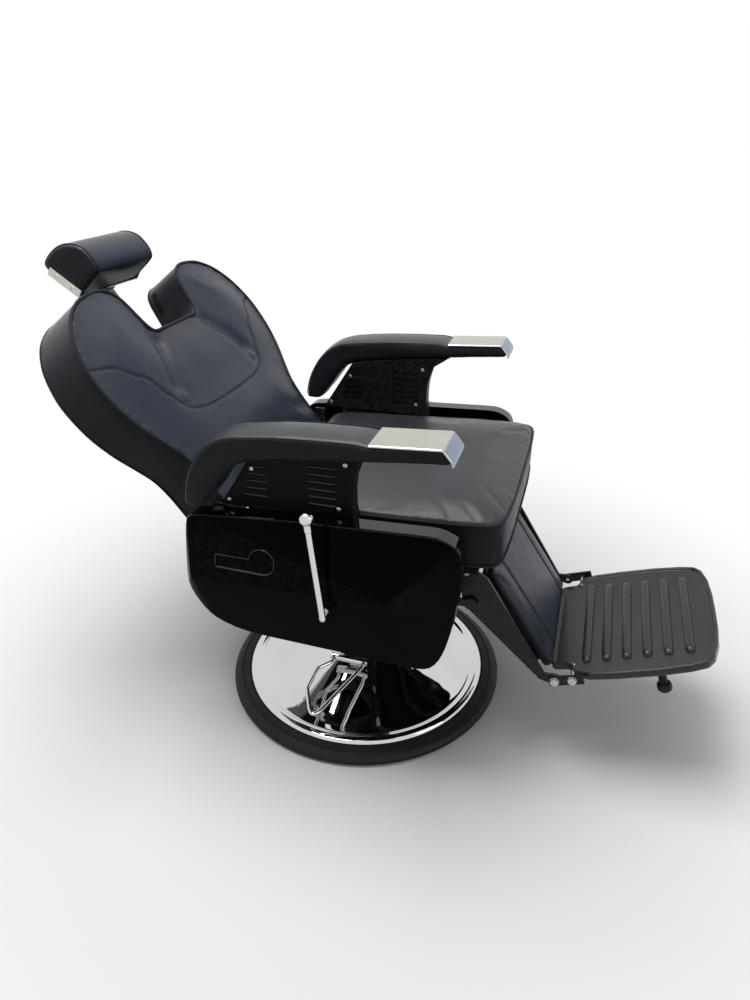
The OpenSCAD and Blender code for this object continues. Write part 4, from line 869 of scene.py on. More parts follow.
@dataclass
class Studio:
    """A pale floor, an even room and the photograph's viewing angle.

    Args:
        eye: The camera's place in metres.
        aim: Its turn about Z, its height above level and its roll, in degrees.
        lens: Its focal length for a picture whose long side is 36 mm.
        film: The length of that long side.
        ambient: The strength of the light from all round.
        reach: How far the floor goes from the middle, in metres.
    """

    eye: Triple = (-1.3072, -0.4455, 1.2239)
    aim: Triple = (-72.2275, 28.446, -0.4687)
    lens: float = 25.25
    film: float = 36.0
    ambient: float = 0.24
    reach: float = 9.0

    def camera(self) -> None:
        """The camera."""
        a, e, r = (math.radians(v) for v in self.aim)
        back = Vector((math.sin(a) * math.cos(e), -math.cos(a) * math.cos(e), math.sin(e)))
        side = Vector((0, 0, 1)).cross(back).normalized()
        up = back.cross(side)
        x = side * math.cos(r) + up * math.sin(r)
        y = up * math.cos(r) - side * math.sin(r)
        data = bpy.data.cameras.new("Camera")
        data.lens, data.sensor_width, data.sensor_fit = self.lens, self.film, "AUTO"
        data.clip_start, data.clip_end = 0.02, 100.0
        eye = placed("Camera", data)
        eye.matrix_world = Matrix((x, y, back)).transposed().to_4x4()
        eye.location = self.eye
        bpy.context.scene.camera = eye

    def seen_white(self, tree: Tree) -> bpy.types.NodeSocket:
        """1 for what the camera, a reflection or a glass sees, and 0 for the light itself."""
        path = tree.group.nodes.new("ShaderNodeLightPath")
        some = tree.maths("MAXIMUM", path.outputs["Is Camera Ray"], path.outputs["Is Glossy Ray"])
        return tree.maths("MAXIMUM", some, path.outputs["Is Transmission Ray"])

    def room(self) -> None:
        """An even white room that lights the object softly."""
        world = bpy.data.worlds.new("Room")
        world.use_nodes = True
        bpy.context.scene.world = world
        tree = Tree(world.node_tree)
        world.node_tree.nodes.clear()
        strength = tree.add("ShaderNodeMix", {"Factor": self.seen_white(tree), 2: self.ambient, 3: 1.0},
                            data_type="FLOAT")
        light = tree.add("ShaderNodeBackground", {"Color": (1.0, 1.0, 1.0, 1.0), "Strength": strength})
        tree.add("ShaderNodeOutputWorld", {"Surface": light})

    def lamp(self, name: str, place: Triple, aim: Triple, size: Pair, power: float) -> None:
        """One soft lamp, aimed at a point."""
        data = bpy.data.lights.new(name, "AREA")
        data.shape, data.size, data.size_y, data.energy = "RECTANGLE", *size, power
        lamp = placed(name, data)
        lamp.location = place
        lamp.rotation_euler = (Vector(aim) - Vector(place)).to_track_quat("-Z", "Y").to_euler()

    def floor(self) -> None:
        """A pale floor that keeps the shadow and melts into the white room."""
        mesh = bpy.data.meshes.new("Floor")
        r = self.reach
        mesh.from_pydata([(-r, -r, 0), (r, -r, 0), (r, r, 0), (-r, r, 0)], [], [(0, 1, 2, 3)])
        floor = placed("Floor", mesh)
        pale = bpy.data.materials.new("Pale floor")
        pale.use_nodes = True
        tree = Tree(pale.node_tree)
        pale.node_tree.nodes.clear()
        place = tree.add("ShaderNodeTexCoord", out="Object")
        far = tree.add("ShaderNodeVectorMath", {0: place}, out="Value", operation="LENGTH")
        fade = tree.between(far, 0.55, 1.5, "SMOOTHERSTEP")
        tone = tree.blend(self.seen_white(tree), (0.42, 0.42, 0.42), (0.92, 0.92, 0.92))
        matt = tree.add("ShaderNodeBsdfPrincipled", {"Base Color": tone, "Roughness": 0.8,
                                                     "Specular IOR Level": 0.1})
        white = tree.add("ShaderNodeEmission",
                         {"Color": (1.0, 1.0, 1.0, 1.0), "Strength": self.seen_white(tree)})
        plain = tree.add("ShaderNodeMixShader", {0: fade, 1: matt, 2: white})
        tree.add("ShaderNodeOutputMaterial", {"Surface": plain})
        mesh.materials.append(pale)

    def build(self) -> None:
        """The whole studio."""
        bpy.context.scene.view_settings.view_transform = "Standard"
        self.camera()
        self.room()
        self.floor()
        self.lamp("Ceiling softbox", (-0.2, 0.5, 3.0), (0.0, 0.0, 0.4), (1.7, 1.7), 70.0)
        self.lamp("Front softbox", (-0.9, -3.2, 2.0), (0.0, -0.2, 0.5), (1.4, 1.4), 14.0)


@dataclass(frozen=True)
class Stuffing:
    """How a sewn cover swells over its foam.

    Args:
        voxel: The cover's mesh size in millimetres.
        pressure: How hard the foam pushes.
        cap: The furthest that a point may move, in millimetres.
        calm: How often the cover is smoothed before it swells.
        frames: How many steps of the simulation it swells for.
    """

    voxel: float = 5.5
    pressure: float = 4.0
    cap: float = 12.0
    calm: int = 4
    frames: int = 20

    def swell(self, piece: bpy.types.Object, place: Place, held: Callable[[Vector], float]) -> None:
        """Blow a piece up, and split its faces once more.

        Args:
            piece: A closed form, a little smaller than the cushion.
            place: The axes that `held` is given in.
            held: How firmly a point is held, from 0 to 1, where the cover is sewn or lies on its board.
        """
        cover = piece.modifiers.new("Cover", "REMESH")
        cover.mode, cover.voxel_size, cover.adaptivity = "VOXEL", self.voxel * MM, 0.0
        settled(piece)
        calm = piece.modifiers.new("Calm", "SMOOTH")
        calm.factor, calm.iterations = 0.5, self.calm
        settled(piece)
        self.simulate(piece, place, held)
        refined(piece)

    def simulate(self, piece: bpy.types.Object, place: Place, held: Callable[[Vector], float]) -> None:
        """Blow the cover up with a cloth simulation, and keep every point within the cap."""
        before = [v.co.copy() for v in piece.data.vertices]
        pins = piece.vertex_groups.new(name="held")
        for v in piece.data.vertices:
            pins.add([v.index], held(place.inside(v.co)), "REPLACE")
        cloth = piece.modifiers.new("Cloth", "CLOTH")
        s = cloth.settings
        s.quality, s.mass, s.time_scale = 6, 0.3, 1.0
        s.tension_stiffness = s.compression_stiffness = 18
        s.shear_stiffness, s.bending_stiffness = 8, 1.2
        s.use_pressure, s.uniform_pressure_force = True, self.pressure
        s.vertex_group_mass = "held"
        s.effector_weights.gravity = 0
        cloth.collision_settings.use_collision = False
        scene = bpy.context.scene
        for span in (scene, cloth.point_cache):
            span.frame_start, span.frame_end = 1, self.frames
        for f in range(1, self.frames + 1):
            scene.frame_set(f)
        settled(piece)
        scene.frame_set(1)
        piece.vertex_groups.clear()
        limit = self.cap * MM
        for v, old in zip(piece.data.vertices, before):
            d = v.co - old
            if d.length > limit:
                v.co = old + d * (limit / d.length)
        piece.data.update()


@dataclass
class Seam:
    """A sewn seam or a soft crease on a flat face, as a line in two of its axes.

    Args:
        line: The points of the line.
        depth: How deep it pulls the cover in, in millimetres.
        width: How far the pull reaches.
        pucker: The height of the small gathers beside it.
        fade: Over what length the ends run out.
    """

    line: tuple[Pair, ...]
    depth: float = 1.8
    width: float = 4.0
    pucker: float = 0.0
    fade: float = 0.0

    def __post_init__(self) -> None:
        """Make the line ready to search."""
        self.track = Track(self.line)

    def pull(self, x: float, y: float) -> float:
        """How far a point is pulled in."""
        d = self.track.near(x, y)
        reach = self.width * 2.4
        if d > max(reach, 26.0):
            return 0.0
        out = self.depth * bell(d, self.width)
        if self.fade > 0:
            ends = min(math.dist((x, y), self.line[0]), math.dist((x, y), self.line[-1]))
            out *= ramp(ends, 0.0, self.fade)
        if self.pucker > 0:
            ripple = noise.noise(Vector((x * 0.11, y * 0.11, 3.7)))
            out += self.pucker * ripple * bell(d - 9.0, 9.0)
        return out


def lively(p: Vector, size: float, height: float, seed: float = 0.0) -> float:
    """A slow unevenness of a hand-stuffed cover."""
    return height * noise.fractal(Vector((p.x / size + seed, p.y / size, p.z / size)), 1.0, 2.0, 3)


def piping(name: str, line: Sequence[Sequence[float]], place: Place, radius: float = 2.6,
           closed: bool = True, finish: Finish = WELT) -> bpy.types.Object:
    """A sewn-in cord along a line of local points in millimetres."""
    host = [place.at(p) for p in even(line, 4.0, closed)]
    return Grower.PIPING.grow(name, [host], closed, Radius=radius * MM, Sides=10, Material=finish.material())


def stitching(name: str, lines: Sequence[Sequence[Sequence[float]]], place: Place, pitch: float = 4.6,
              length: float = 3.4, thick: float = 0.8) -> bpy.types.Object:
    """Small stitches along open lines of local points in millimetres."""
    hosts = [[place.at(p) for p in line] for line in lines]
    return Grower.STITCHES.grow(name, hosts, Pitch=pitch * MM, Length=length * MM, Thickness=thick * MM,
                                Material=THREAD.material())


def turned(name: str, outline: Sequence[Pair], segments: int, finish: Finish,
           sharp: float = 60.0) -> bpy.types.Object:
    """A shape turned about Z, from radii and heights in millimetres."""
    host = [CHAIR.at((radius, 0, height)) for radius, height in outline]
    return Grower.TURNED.grow(name, [host], sharp=sharp, Segments=segments, Corners=len(outline),
                              Material=finish.material())


def set_at(piece: bpy.types.Object, place: Place, shift: Triple = (0.0, 0.0, 0.0)) -> None:
    """Move a piece made about the origin into a place's axes, after a shift in millimetres."""
    for v in piece.data.vertices:
        p = v.co / MM
        v.co = place.at((p.x + shift[0], p.y + shift[1], p.z + shift[2]))


def laid_on(lines: Sequence[Sequence[Triple]], piece: bpy.types.Object, place: Place,
            lift: float) -> list[list[Triple]]:
    """Lines dropped on to a piece's front along the local Y, and lifted off it in millimetres."""
    tree = BVHTree.FromObject(piece, bpy.context.evaluated_depsgraph_get())
    way = (place.at((0, 1, 0)) - place.at((0, 0, 0))).normalized()
    before, reach = 0.08, 0.2
    out = []
    for line in lines:
        row = []
        for p in line:
            hit = tree.ray_cast(place.at(p) - way * before, way, reach)[0]
            row.append(tuple(place.inside((hit if hit else place.at(p)) - way * lift * MM)))
        out.append(row)
    return out


def beside(line: Sequence[Pair], gap: float) -> list[Pair]:
    """An open line moved sideways by a gap."""
    out = []
    for i, p in enumerate(line):
        a, b = Vector(line[max(i - 1, 0)]), Vector(line[min(i + 1, len(line) - 1)])
        d = (b - a).normalized()
        out.append((p[0] - d.y * gap, p[1] + d.x * gap))
    return out


@dataclass
class Part:
    """What every sub-assembly does: name, finish and ride its pieces."""

    made: list[bpy.types.Object] = field(default_factory=list, init=False)

    def keep(self, piece: bpy.types.Object, body: str, slot: str, finish: Finish | None = None,
             instead_of: Sequence[str] = (), fill: float | None = None) -> None:
        """Finish a piece and set it on its body.

        Args:
            piece: The piece, in place.
            body: The body that it rides on.
            slot: The record's material slot; not used.
            finish: Its finish, if it has none yet.
            instead_of: The nodes that it stands for.
            fill: How full it is, if it is padded; not used.
        """
        if finish is not None:
            finish.on(piece)
        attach(piece, body)
        if instead_of:
            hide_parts(*instead_of)
        self.made.append(piece)
        LOG.info("%s: %d faces on %s", piece.name, len(piece.data.polygons), body)


@dataclass
class Base(Part):
    """The round foot: the mirror dome and the rubber ring round it."""

    radius: float = 330.0
    ring: float = 39.0
    ring_high: float = 26.0
    plate: float = 10.0
    rise: float = 84.0
    wall: float = 3.0
    segments: int = 224

    def dome(self) -> None:
        """The chromed dome, with its bead round the foot and its collar round the pump."""
        r = self.radius - self.ring - 0.3
        shares = [(1, 0), (1, 0.12), (0.9975, 0.19), (0.985, 0.25), (0.968, 0.276), (0.95, 0.282),
                  (0.934, 0.272), (0.918, 0.246), (0.906, 0.222), (0.892, 0.217), (0.86, 0.232),
                  (0.82, 0.26), (0.75, 0.318), (0.68, 0.39), (0.6, 0.48), (0.52, 0.575), (0.45, 0.66),
                  (0.38, 0.748), (0.33, 0.812), (0.28, 0.872), (0.24, 0.918), (0.205, 0.955), (0.18, 0.985),
                  (0.17, 1.0)]
        line = flowing(spread(shares, (r, self.rise), (0, self.plate)), 4, closed=False)
        inner = drawn_in([*line, (0.0, self.plate)], self.wall)[: len(line)]
        outline = [*line, *reversed([(u, max(v, self.plate)) for u, v in inner])]
        dome = turned("base_dome_shell", outline, self.segments, CHROME)
        self.keep(dome, "base", "dome_chrome", instead_of=["base_dome"])

    def rubber(self) -> None:
        """The rubber ring, rounded outside, with a fine groove near its top."""
        o, i, h = self.radius, self.radius - self.ring, self.ring_high
        line = rounded([(i, 0), (o - 7, 0), (o, 8), (o, h - 10), (o - 8, h - 3), (o - 17, h), (i, h)], 3.0, 5)
        groove = [(o - 19.0, h - 0.1), (o - 20.0, h - 1.6), (o - 22.0, h - 1.6), (o - 23.0, h - 0.1)]
        k = max(j for j, p in enumerate(line) if p[0] > o - 19 and p[1] > h - 2)
        line = [*line[: k + 1], *groove, *line[k + 1:]]
        ring = turned("base_rubber_ring", line, self.segments, RUBBER, 40.0)
        self.keep(ring, "base", "base_rubber", instead_of=["base_trim_ring"])

    def build(self) -> None:
        """Every piece of the base."""
        self.dome()
        self.rubber()


@dataclass
class Pedal(Part):
    """The bent rod of the pump pedal."""

    height: float = 104.0
    rod: float = 4.6

    def build(self) -> None:
        """The loop: out from one socket, round the tip and back to the other."""
        steps = 8
        path = rounded([(-99, -32), (-129, -32), (-314, 20), (-228, 64), (-160, 66), (-129, 42), (-99, 42)],
                       15.0, steps)
        path = [(-99.0, -32.0), *path[steps + 1:-steps - 1], (-99.0, 42.0)]
        host = [CHAIR.at((x, y, self.height)) for x, y in even(path, 5.0, False)]
        loop = Grower.PIPING.grow("pedal_rod_loop", [host], Radius=self.rod * MM, Sides=20,
                                  Material=CHROME.material())
        self.keep(loop, "pedal", "steel_chrome", instead_of=["pedal_loop"])


@dataclass
class Seat(Part):
    """The seat cushion: crowned top, piped edge and sewn boxing."""

    width: float = 504.0
    depth: float = 495.0
    front: float = -345.0
    foot: float = 508.0
    edge: float = 600.0
    fall: float = 0.047
    crown: float = 29.0

    def outline(self) -> list[Pair]:
        """The cushion's outline from above."""
        shares = [(0, 0), (0.5, 0.001), (0.82, 0.01), (0.94, 0.035), (0.98, 0.09), (1, 0.2), (1, 0.45),
                  (0.985, 0.7), (0.975, 0.9), (0.95, 0.97), (0.88, 1), (0.5, 1), (0, 1)]
        return flowing(mirrored(spread(shares, (self.width / 2, self.depth), (0, self.front))), 6)

    def top(self, y: float) -> float:
        """The height of the piped edge."""
        return self.edge - self.fall * (y - self.front)

    def build(self) -> None:
        """The cushion, its piping and its boxing seam."""
        line = self.outline()
        middle = (0.0, self.front + self.depth / 2)
        rings = [ring_at(line, inset, self.foot + up, 2)
                 for inset, up in ((7.0, 0.0), (1.5, 7.0), (0.8, 30.0), (0.8, 70.0))]
        sewn = drawn_in(line, 1.5)
        rings.append([(x, y, self.top(y) - 1.0) for x, y in sewn])
        for t, up in ((0.02, 0.3), (0.06, 0.62), (0.14, 0.85), (0.3, 0.97), (0.6, 1.0), (0.9, 1.02)):
            inner = [mix(p, middle, t) for p in sewn]
            rings.append([(x, y, self.top(y) + up * (self.crown - 8.0)) for x, y in inner])
        pad = make("seat_pad", *loft(rings))
        track = Track(line, closed=True)

        def held(p: Vector) -> float:
            """The foot lies on its board, and the piping holds the top edge."""
            seam = abs(p.z - self.top(p.y)) < 5.0 and track.near(p.x, p.y) < 7.0
            return 1.0 if p.z < self.foot + 8 or seam else 0.0

        Stuffing(voxel=6.0, cap=9.0, calm=3).swell(pad, CHAIR, held)

        def detail(p: Vector) -> Triple:
            """Gathers beside the piping, and a little life in the cover."""
            up = p.z > self.top(p.y) - 4
            edge = track.near(p.x, p.y)
            ripple = noise.noise(Vector((p.x * 0.07, p.y * 0.07, 1.3 if up else 8.1)))
            z = 0.9 * ripple * bell(edge - 12, 12) if up else 0.0
            if up:
                z += lively(p, 130, 1.3) * ramp(edge, 10, 60)
            side = 0.0 if up else lively(p, 70, 0.8, 4.0)
            return side * (1 if p.x > 0 else -1), 0.0, z

        moved(pad, CHAIR, detail)
        self.keep(pad, "seat", "foam", LEATHER, ["seat_cushion"], fill=0.85)
        cord = [(x, y, self.top(y) - 0.6) for x, y in drawn_in(line, 1.7)]
        self.keep(piping("seat_piping", cord, CHAIR, 2.7), "seat", "foam")
        low = ring_at(line, 1.0, self.foot + 5.0, 2)
        self.keep(piping("seat_lower_piping", low, CHAIR, 2.2), "seat", "foam")


@dataclass
class Backrest(Part):
    """The notched back: piped front, sewn curve, soft spine, deep boxing and a moulded rear panel."""

    half: float = 317.0
    foot: float = 16.0
    length: float = 506.0
    front: float = -77.0
    rear: float = 33.0
    crown: float = 12.0

    def outline(self) -> list[Pair]:
        """The outline, as X and the place up the back."""
        shares = [(0, 0.776), (0.15, 0.776), (0.245, 0.779), (0.284, 0.82), (0.32, 0.92), (0.36, 0.968),
                  (0.44, 0.997), (0.55, 1), (0.68, 0.985), (0.82, 0.935), (0.93, 0.85), (0.99, 0.745),
                  (1, 0.66), (0.98, 0.56), (0.925, 0.46), (0.85, 0.37), (0.79, 0.29), (0.768, 0.2),
                  (0.764, 0.08), (0.752, 0.035), (0.7, 0.008), (0.6, 0), (0.3, 0), (0, 0)]
        return flowing(mirrored(spread(shares, (self.half, self.length), (0, self.foot))), 6)

    def seams(self) -> tuple[list[Pair], list[Seam]]:
        """The sewn curve across the back, and every line that pulls the cover in."""
        half = [(0.0, 219.0), (87.0, 221.0), (129.0, 228.0), (160.0, 242.0), (181.0, 274.0), (194.0, 289.0),
                (210.0, 324.0), (236.0, 347.0), (262.0, 374.0), (313.0, 390.0)]
        curve = flowing([(-x, s) for x, s in reversed(half[1:])] + half, 6, closed=False)
        spine = [(80.0, 410.0), (93.0, 391.0), (108.0, 364.0), (121.0, 341.0), (134.0, 314.0),
                 (144.0, 290.0), (150.0, 262.0)]
        lines = [Seam(tuple(curve), 1.7, 3.6, pucker=0.7)]
        for side in (-1, 1):
            line = flowing([(side * x, s) for x, s in spine], 4, closed=False)
            lines.append(Seam(tuple(line), 9.0, 17.0, fade=34.0))
        return curve, lines

    def build(self) -> None:
        """The upholstery, its piping and stitches, and the rear panel."""
        line = self.outline()
        track = Track(line, closed=True)
        levels = ((4.0, self.rear - 1.5), (0.0, 29.0), (0.0, 24.0), (0.6, 0.0), (0.6, -50.0),
                  (1.5, self.front + 1.0))
        pad = make("back_pad", *loft([ring_at(line, inset, y, 1) for inset, y in levels]), place=BACK)

        def held(p: Vector) -> float:
            """The rear edge is tacked to its board, and the piping holds the front edge."""
            seam = abs(p.y - self.front) < 5.0 and track.near(p.x, p.z) < 7.0
            return 1.0 if p.y > self.rear - 12 or seam else 0.0

        Stuffing(voxel=6.0, cap=9.0, calm=2).swell(pad, BACK, held)
        curve, lines = self.seams()

        def detail(p: Vector) -> Triple:
            """Fullness, the sewn curve, the spine's creases and gathers beside the piping."""
            edge = track.near(p.x, p.z)
            if p.y > self.front + 6 or edge < 0.5:
                return lively(p, 80, 0.9, 4.0), 0.0, 0.0
            fullness = (self.crown - 5.0) * ramp(edge, 2, 110)
            shoulders = 7.0 * bell(abs(p.x) - 205, 95) * ramp(p.z, 250, 400) * ramp(edge, 10, 90)
            spine = 6.0 * bell(p.x, 75) * ramp(p.z, 200, 330) * ramp(edge, 6, 60)
            lumbar = 11.0 * bell(p.z - 165, 85) * bell(p.x, 170) * ramp(edge, 10, 80)
            pulls = sum(s.pull(p.x, p.z) for s in lines)
            gathers = 0.8 * noise.noise(Vector((p.x * 0.07, p.z * 0.07, 5.0))) * bell(edge - 12, 12)
            life = lively(p, 150, 1.4, 2.0) * ramp(edge, 10, 60)
            return 0.0, -fullness - shoulders - spine - lumbar + pulls + gathers + life, 0.0

        moved(pad, BACK, detail)
        self.keep(pad, "back", "foam", LEATHER, ["back_cushion"], fill=0.85)
        cord = ring_at(line, 2.6, self.front + 2.4, 1)
        self.keep(piping("back_piping", cord, BACK, 3.5), "back", "foam")
        rear = ring_at(line, 1.6, self.rear - 5.5, 1)
        self.keep(piping("back_rear_piping", rear, BACK, 2.4), "back", "foam")
        sewn = [[(x, self.front - 10, s) for x, s in beside(curve, g)] for g in (3.4, -3.4)]
        self.keep(stitching("back_stitches", laid_on(sewn, pad, BACK, 0.1), BACK), "back", "foam")
        # Painted shade: a thin dark cord sunk along the sewn curve stands in for the shade in its crease.
        crease_shade = laid_on([[(x, self.front - 10, s) for x, s in curve[3:-3]]], pad, BACK, -0.2)[0]
        self.keep(piping("back_seam_fold", crease_shade, BACK, 0.6, False, THREAD), "back", "foam")
        self.panel(line)

    def panel(self, line: Sequence[Pair]) -> None:
        """The moulded panel behind, with its screws."""
        y = self.rear
        levels = ((13.0, y - 9.0), (13.0, y - 2.5), (14.0, y - 0.8), (17.0, y))
        rings = [ring_at(line, inset, level, 1) for inset, level in levels]
        panel = make("back_rear_panel", *loft(rings), place=BACK, sharp=50)
        self.keep(panel, "back", "louvre_plastic", TEXTURED, ["back_shell"])
        marks = ((190, 60), (210, 170), (262, 300), (262, 400), (150, 480))
        places = [[BACK.at((side * x, y - 0.3, s))] for side in (-1, 1) for x, s in marks]
        screws = Fastener(3.6, 1.7).set_in("back_panel_screws", places,
                                           BACK.at((0, 1, 0)) - BACK.at((0, 0, 0)), ZINC)
        self.keep(screws, "back", "steel_zinc")


@dataclass(frozen=True)
class Fastener:
    """A screw or bolt head.

    Args:
        radius: Its radius in millimetres, to its corners if it has six sides.
        height: Its height.
        sides: 6 for a hexagon, or more for a round head with a cross recess.
        washer: The radius of its washer, or 0.
    """

    radius: float
    height: float
    sides: int = 20
    washer: float = 0.0

    def head(self) -> bpy.types.Object:
        """One head at the origin, pointing up."""
        r, h = self.radius, self.height
        if self.sides == 6:
            profile = [(r * 0.97, 0.0), (r, 0.25), (r, h * 0.72), (r * 0.9, h), (0.35 * r, h)]
        else:
            profile = [(r, 0.0), (r, h * 0.3), (r * 0.93, h * 0.62), (r * 0.76, h * 0.86), (r * 0.5, h),
                       (r * 0.2, h)]
        rings = [[(x, y, z) for x, y in circle(p, self.sides)] for p, z in profile]
        head = make("head", *loft(rings), sharp=30)
        if self.sides != 6:
            for w, d in ((r * 1.1, r * 0.26), (r * 0.26, r * 1.1)):
                slot = make("slot", *boxed((-w / 2, -d / 2, h * 0.45), (w / 2, d / 2, h + 1)))
                cut(head, slot)
        if self.washer:
            w = self.washer
            disc = [[(x, y, z) for x, y in circle(p, 28)]
                    for p, z in ((w, -0.05), (w, 0.9), (w - 0.5, 1.3), (r * 0.5, 1.3))]
            head.data.transform(Matrix.Translation((0, 0, 1.2 * MM)))
            head = joined("head", [head, make("washer", *loft(disc))])
            shade(head.data, 30)
        return head

    def set_in(self, name: str, places: Sequence[Sequence[Vector]], axis: Vector, finish: Finish,
               seed: int = 3) -> bpy.types.Object:
        """Heads at places in metres, pointing along an axis."""
        head = self.head()
        out = Grower.FASTENERS.grow(name, places, sharp=30, Head=head, Axis=tuple(axis.normalized()),
                                    Seed=seed, Material=finish.material())
        bpy.data.objects.remove(head)
        return out


@dataclass
class Arms(Part):
    """The armrests: sewn pads with brushed steel caps, on louvred supports."""

    inner: float = 255.0
    width: float = 83.0
    front: float = -262.0
    foot: float = 604.0
    length: float = 499.0
    rise: float = 173.0
    panel_in: float = 257.0
    panel_out: float = 287.0
    hoods: int = 6
    sheet: float = 1.4

    PANEL = ((298.0, 148.0), (-111.0, 588.0))
    TOP = ((0.006, 0.87), (0.034, 0.985), (0.15, 0.965), (0.278, 0.94), (0.33, 0.958), (0.463, 0.948),
           (0.605, 0.925), (0.71, 0.892), (0.795, 0.855), (0.857, 0.78), (0.91, 0.65), (0.95, 0.5),
           (0.98, 0.32), (0.995, 0.14), (1, 0))
    LOW = ((0.006, 0.84), (0.03, 0.82), (0.15, 0.79), (0.278, 0.75), (0.33, 0.735), (0.463, 0.695),
           (0.6, 0.645), (0.695, 0.61), (0.75, 0.572), (0.782, 0.53), (0.813, 0.455), (0.85, 0.32),
           (0.885, 0.18), (0.912, 0.09), (0.928, 0))

    def line(self, shares: Sequence[Pair], steps: int) -> list[Pair]:
        """A smooth line along the armrest's side, as Y and Z."""
        return flowing(spread(shares, (self.length, self.rise), (self.front, self.foot)), steps, closed=False)

    def ring(self, top: Pair, low: Pair, wide: float, crown: float) -> list[Triple]:
        """The armrest's section at one station."""
        quarter = [(0.0, 0.36), (0.008, 0.24), (0.03, 0.13), (0.065, 0.06), (0.12, 0.015), (0.2, 0.0)]
        over = [(0.35, -crown), (0.5, -1.25 * crown), (0.65, -crown)]
        shares = quarter + over + [(1 - u, v) for u, v in reversed(quarter)] + [(1.0, 0.5)]
        shares += [(1 - u, 1 - v) for u, v in quarter] + [(0.5, 1.0)]
        shares += [(u, 1 - v) for u, v in reversed(quarter)] + [(0.0, 0.5)]
        w, x0 = self.width * wide, self.inner + self.width * (1 - wide) / 2
        return [(x0 + u * w, *mix(top, low, v)) for u, v in shares]

    def pad(self) -> None:
        """The sewn pad of both armrests, with piping along its top edges."""
        steps = 4
        tops, lows = (self.line(shares, steps) for shares in (self.TOP, self.LOW))
        capped = 3 * steps
        rings = []
        for i, (a, b) in enumerate(zip(tops, lows)):
            t = ramp(i, capped - 1.0, capped + 2.0)
            rings.append(self.ring(a, b, 0.955 + 0.03 * t, 0.02 * t))
        pad = make("arm_pad_sewn_left", *loft(rings))
        seams = [Track([(self.inner + self.width * u, *mix(tops[i], lows[i], 0.075))
                        for i in range(capped, len(tops))]) for u in (0.035, 0.965)]

        def held(p: Vector) -> float:
            """The seams, what lies under the cap, and the foot on its support are held."""
            if p.y < tops[capped][0] + 3:
                return 1.0
            return 1.0 if min(seam.near(*p) for seam in seams) < 5.5 else 0.0

        Stuffing(voxel=4.4, cap=3.2, calm=2).swell(pad, CHAIR, held)
        moved(pad, CHAIR, lambda p: (lively(p, 60, 0.5), 0.0, lively(p, 90, 0.5, 3.0)))
        LEATHER.on(pad)
        cords = []
        for u, out in ((0.02, -0.4), (0.98, 0.4)):
            line = [(self.inner + self.width * u + out, *mix(tops[i], lows[i], 0.075))
                    for i in range(capped - 1, len(tops) - 2)]
            cords.append(piping("cord", line, CHAIR, 1.1, closed=False))
        cord = joined("arm_piping_left", cords)
        for side in SIDES:
            self.keep(on_side(pad, side), "seat", "foam", None, [f"arm_pad_{side}"], fill=0.9)
            self.keep(on_side(cord, side), "seat", "foam")

    def cap(self) -> None:
        """The bent steel plates over the fronts of the armrests."""
        fine, steps = 6, 8
        top = self.line(self.TOP, fine)[fine:3 * fine + 1]
        nose = spread(((0.0, 0.83), (0.001, 0.87)), (self.length, self.rise), (self.front, self.foot))
        path = rounded([nose[0], nose[1], top[0], top[9], top[-1]], 7.0, steps)
        path = even([nose[0], *path[steps + 1:-steps - 1], top[-1]], 3.0, closed=False)
        w = self.width / 2
        across = [(-w + 0.2, 3.6), (-w + 0.1, 2.9), (-w + 0.25, 2.2), (-w + 0.8, 1.3), (-w + 1.7, 0.6),
                  (-w + 3.2, 0.12), (-w + 5, 0.0), (0.0, 0.0)]
        across += [(-x, d) for x, d in reversed(across[:-1])]
        middle = self.inner + w
        rings = []
        for i, p in enumerate(path):
            a, b = Vector(path[max(i - 1, 0)]), Vector(path[min(i + 1, len(path) - 1)])
            d = (b - a).normalized()
            up = Vector((-d.y, d.x))
            q = Vector(p) + up * 2.3
            rings.append([(middle + x, q.x - up.x * drop, q.y - up.y * drop) for x, drop in across])
        n = len(across)
        points = [p for ring in rings for p in ring]
        faces = [[j * n + i, j * n + i + 1, (j + 1) * n + i + 1, (j + 1) * n + i]
                 for j in range(len(rings) - 1) for i in range(n - 1)]
        mesh = bpy.data.meshes.new("arm_cap_plate_left")
        mesh.from_pydata([CHAIR.at(p) for p in points], [], faces)
        plate = placed("arm_cap_plate_left", mesh)
        if mesh.polygons[len(mesh.polygons) // 2].normal.z < 0:
            mesh.flip_normals()
        thick = plate.modifiers.new("Sheet", "SOLIDIFY")
        thick.thickness, thick.offset = self.sheet * MM, -1.0
        settled(plate)
        bevelled(plate, 0.5, 2, 50)
        BRUSHED.on(plate)
        for side in SIDES:
            self.keep(on_side(plate, side), "seat", "cap_steel", None, [f"arm_cap_{side}"])

    def panel_outline(self) -> list[Pair]:
        """The louvred panel's outline: a concave front, the armrest above and a raked rear edge."""
        size, at = self.PANEL
        lows = spread(self.LOW[3:9], (self.length, self.rise), (self.front, self.foot - 0.3))
        curve = spread(((0.1, 0), (0.117, 0.2), (0.117, 0.41), (0.105, 0.6), (0.062, 0.84)), size, at)
        return [*flowing([*curve, lows[0]], 6, closed=False), *lows[1:], *spread(((1, 0),), size, at)]

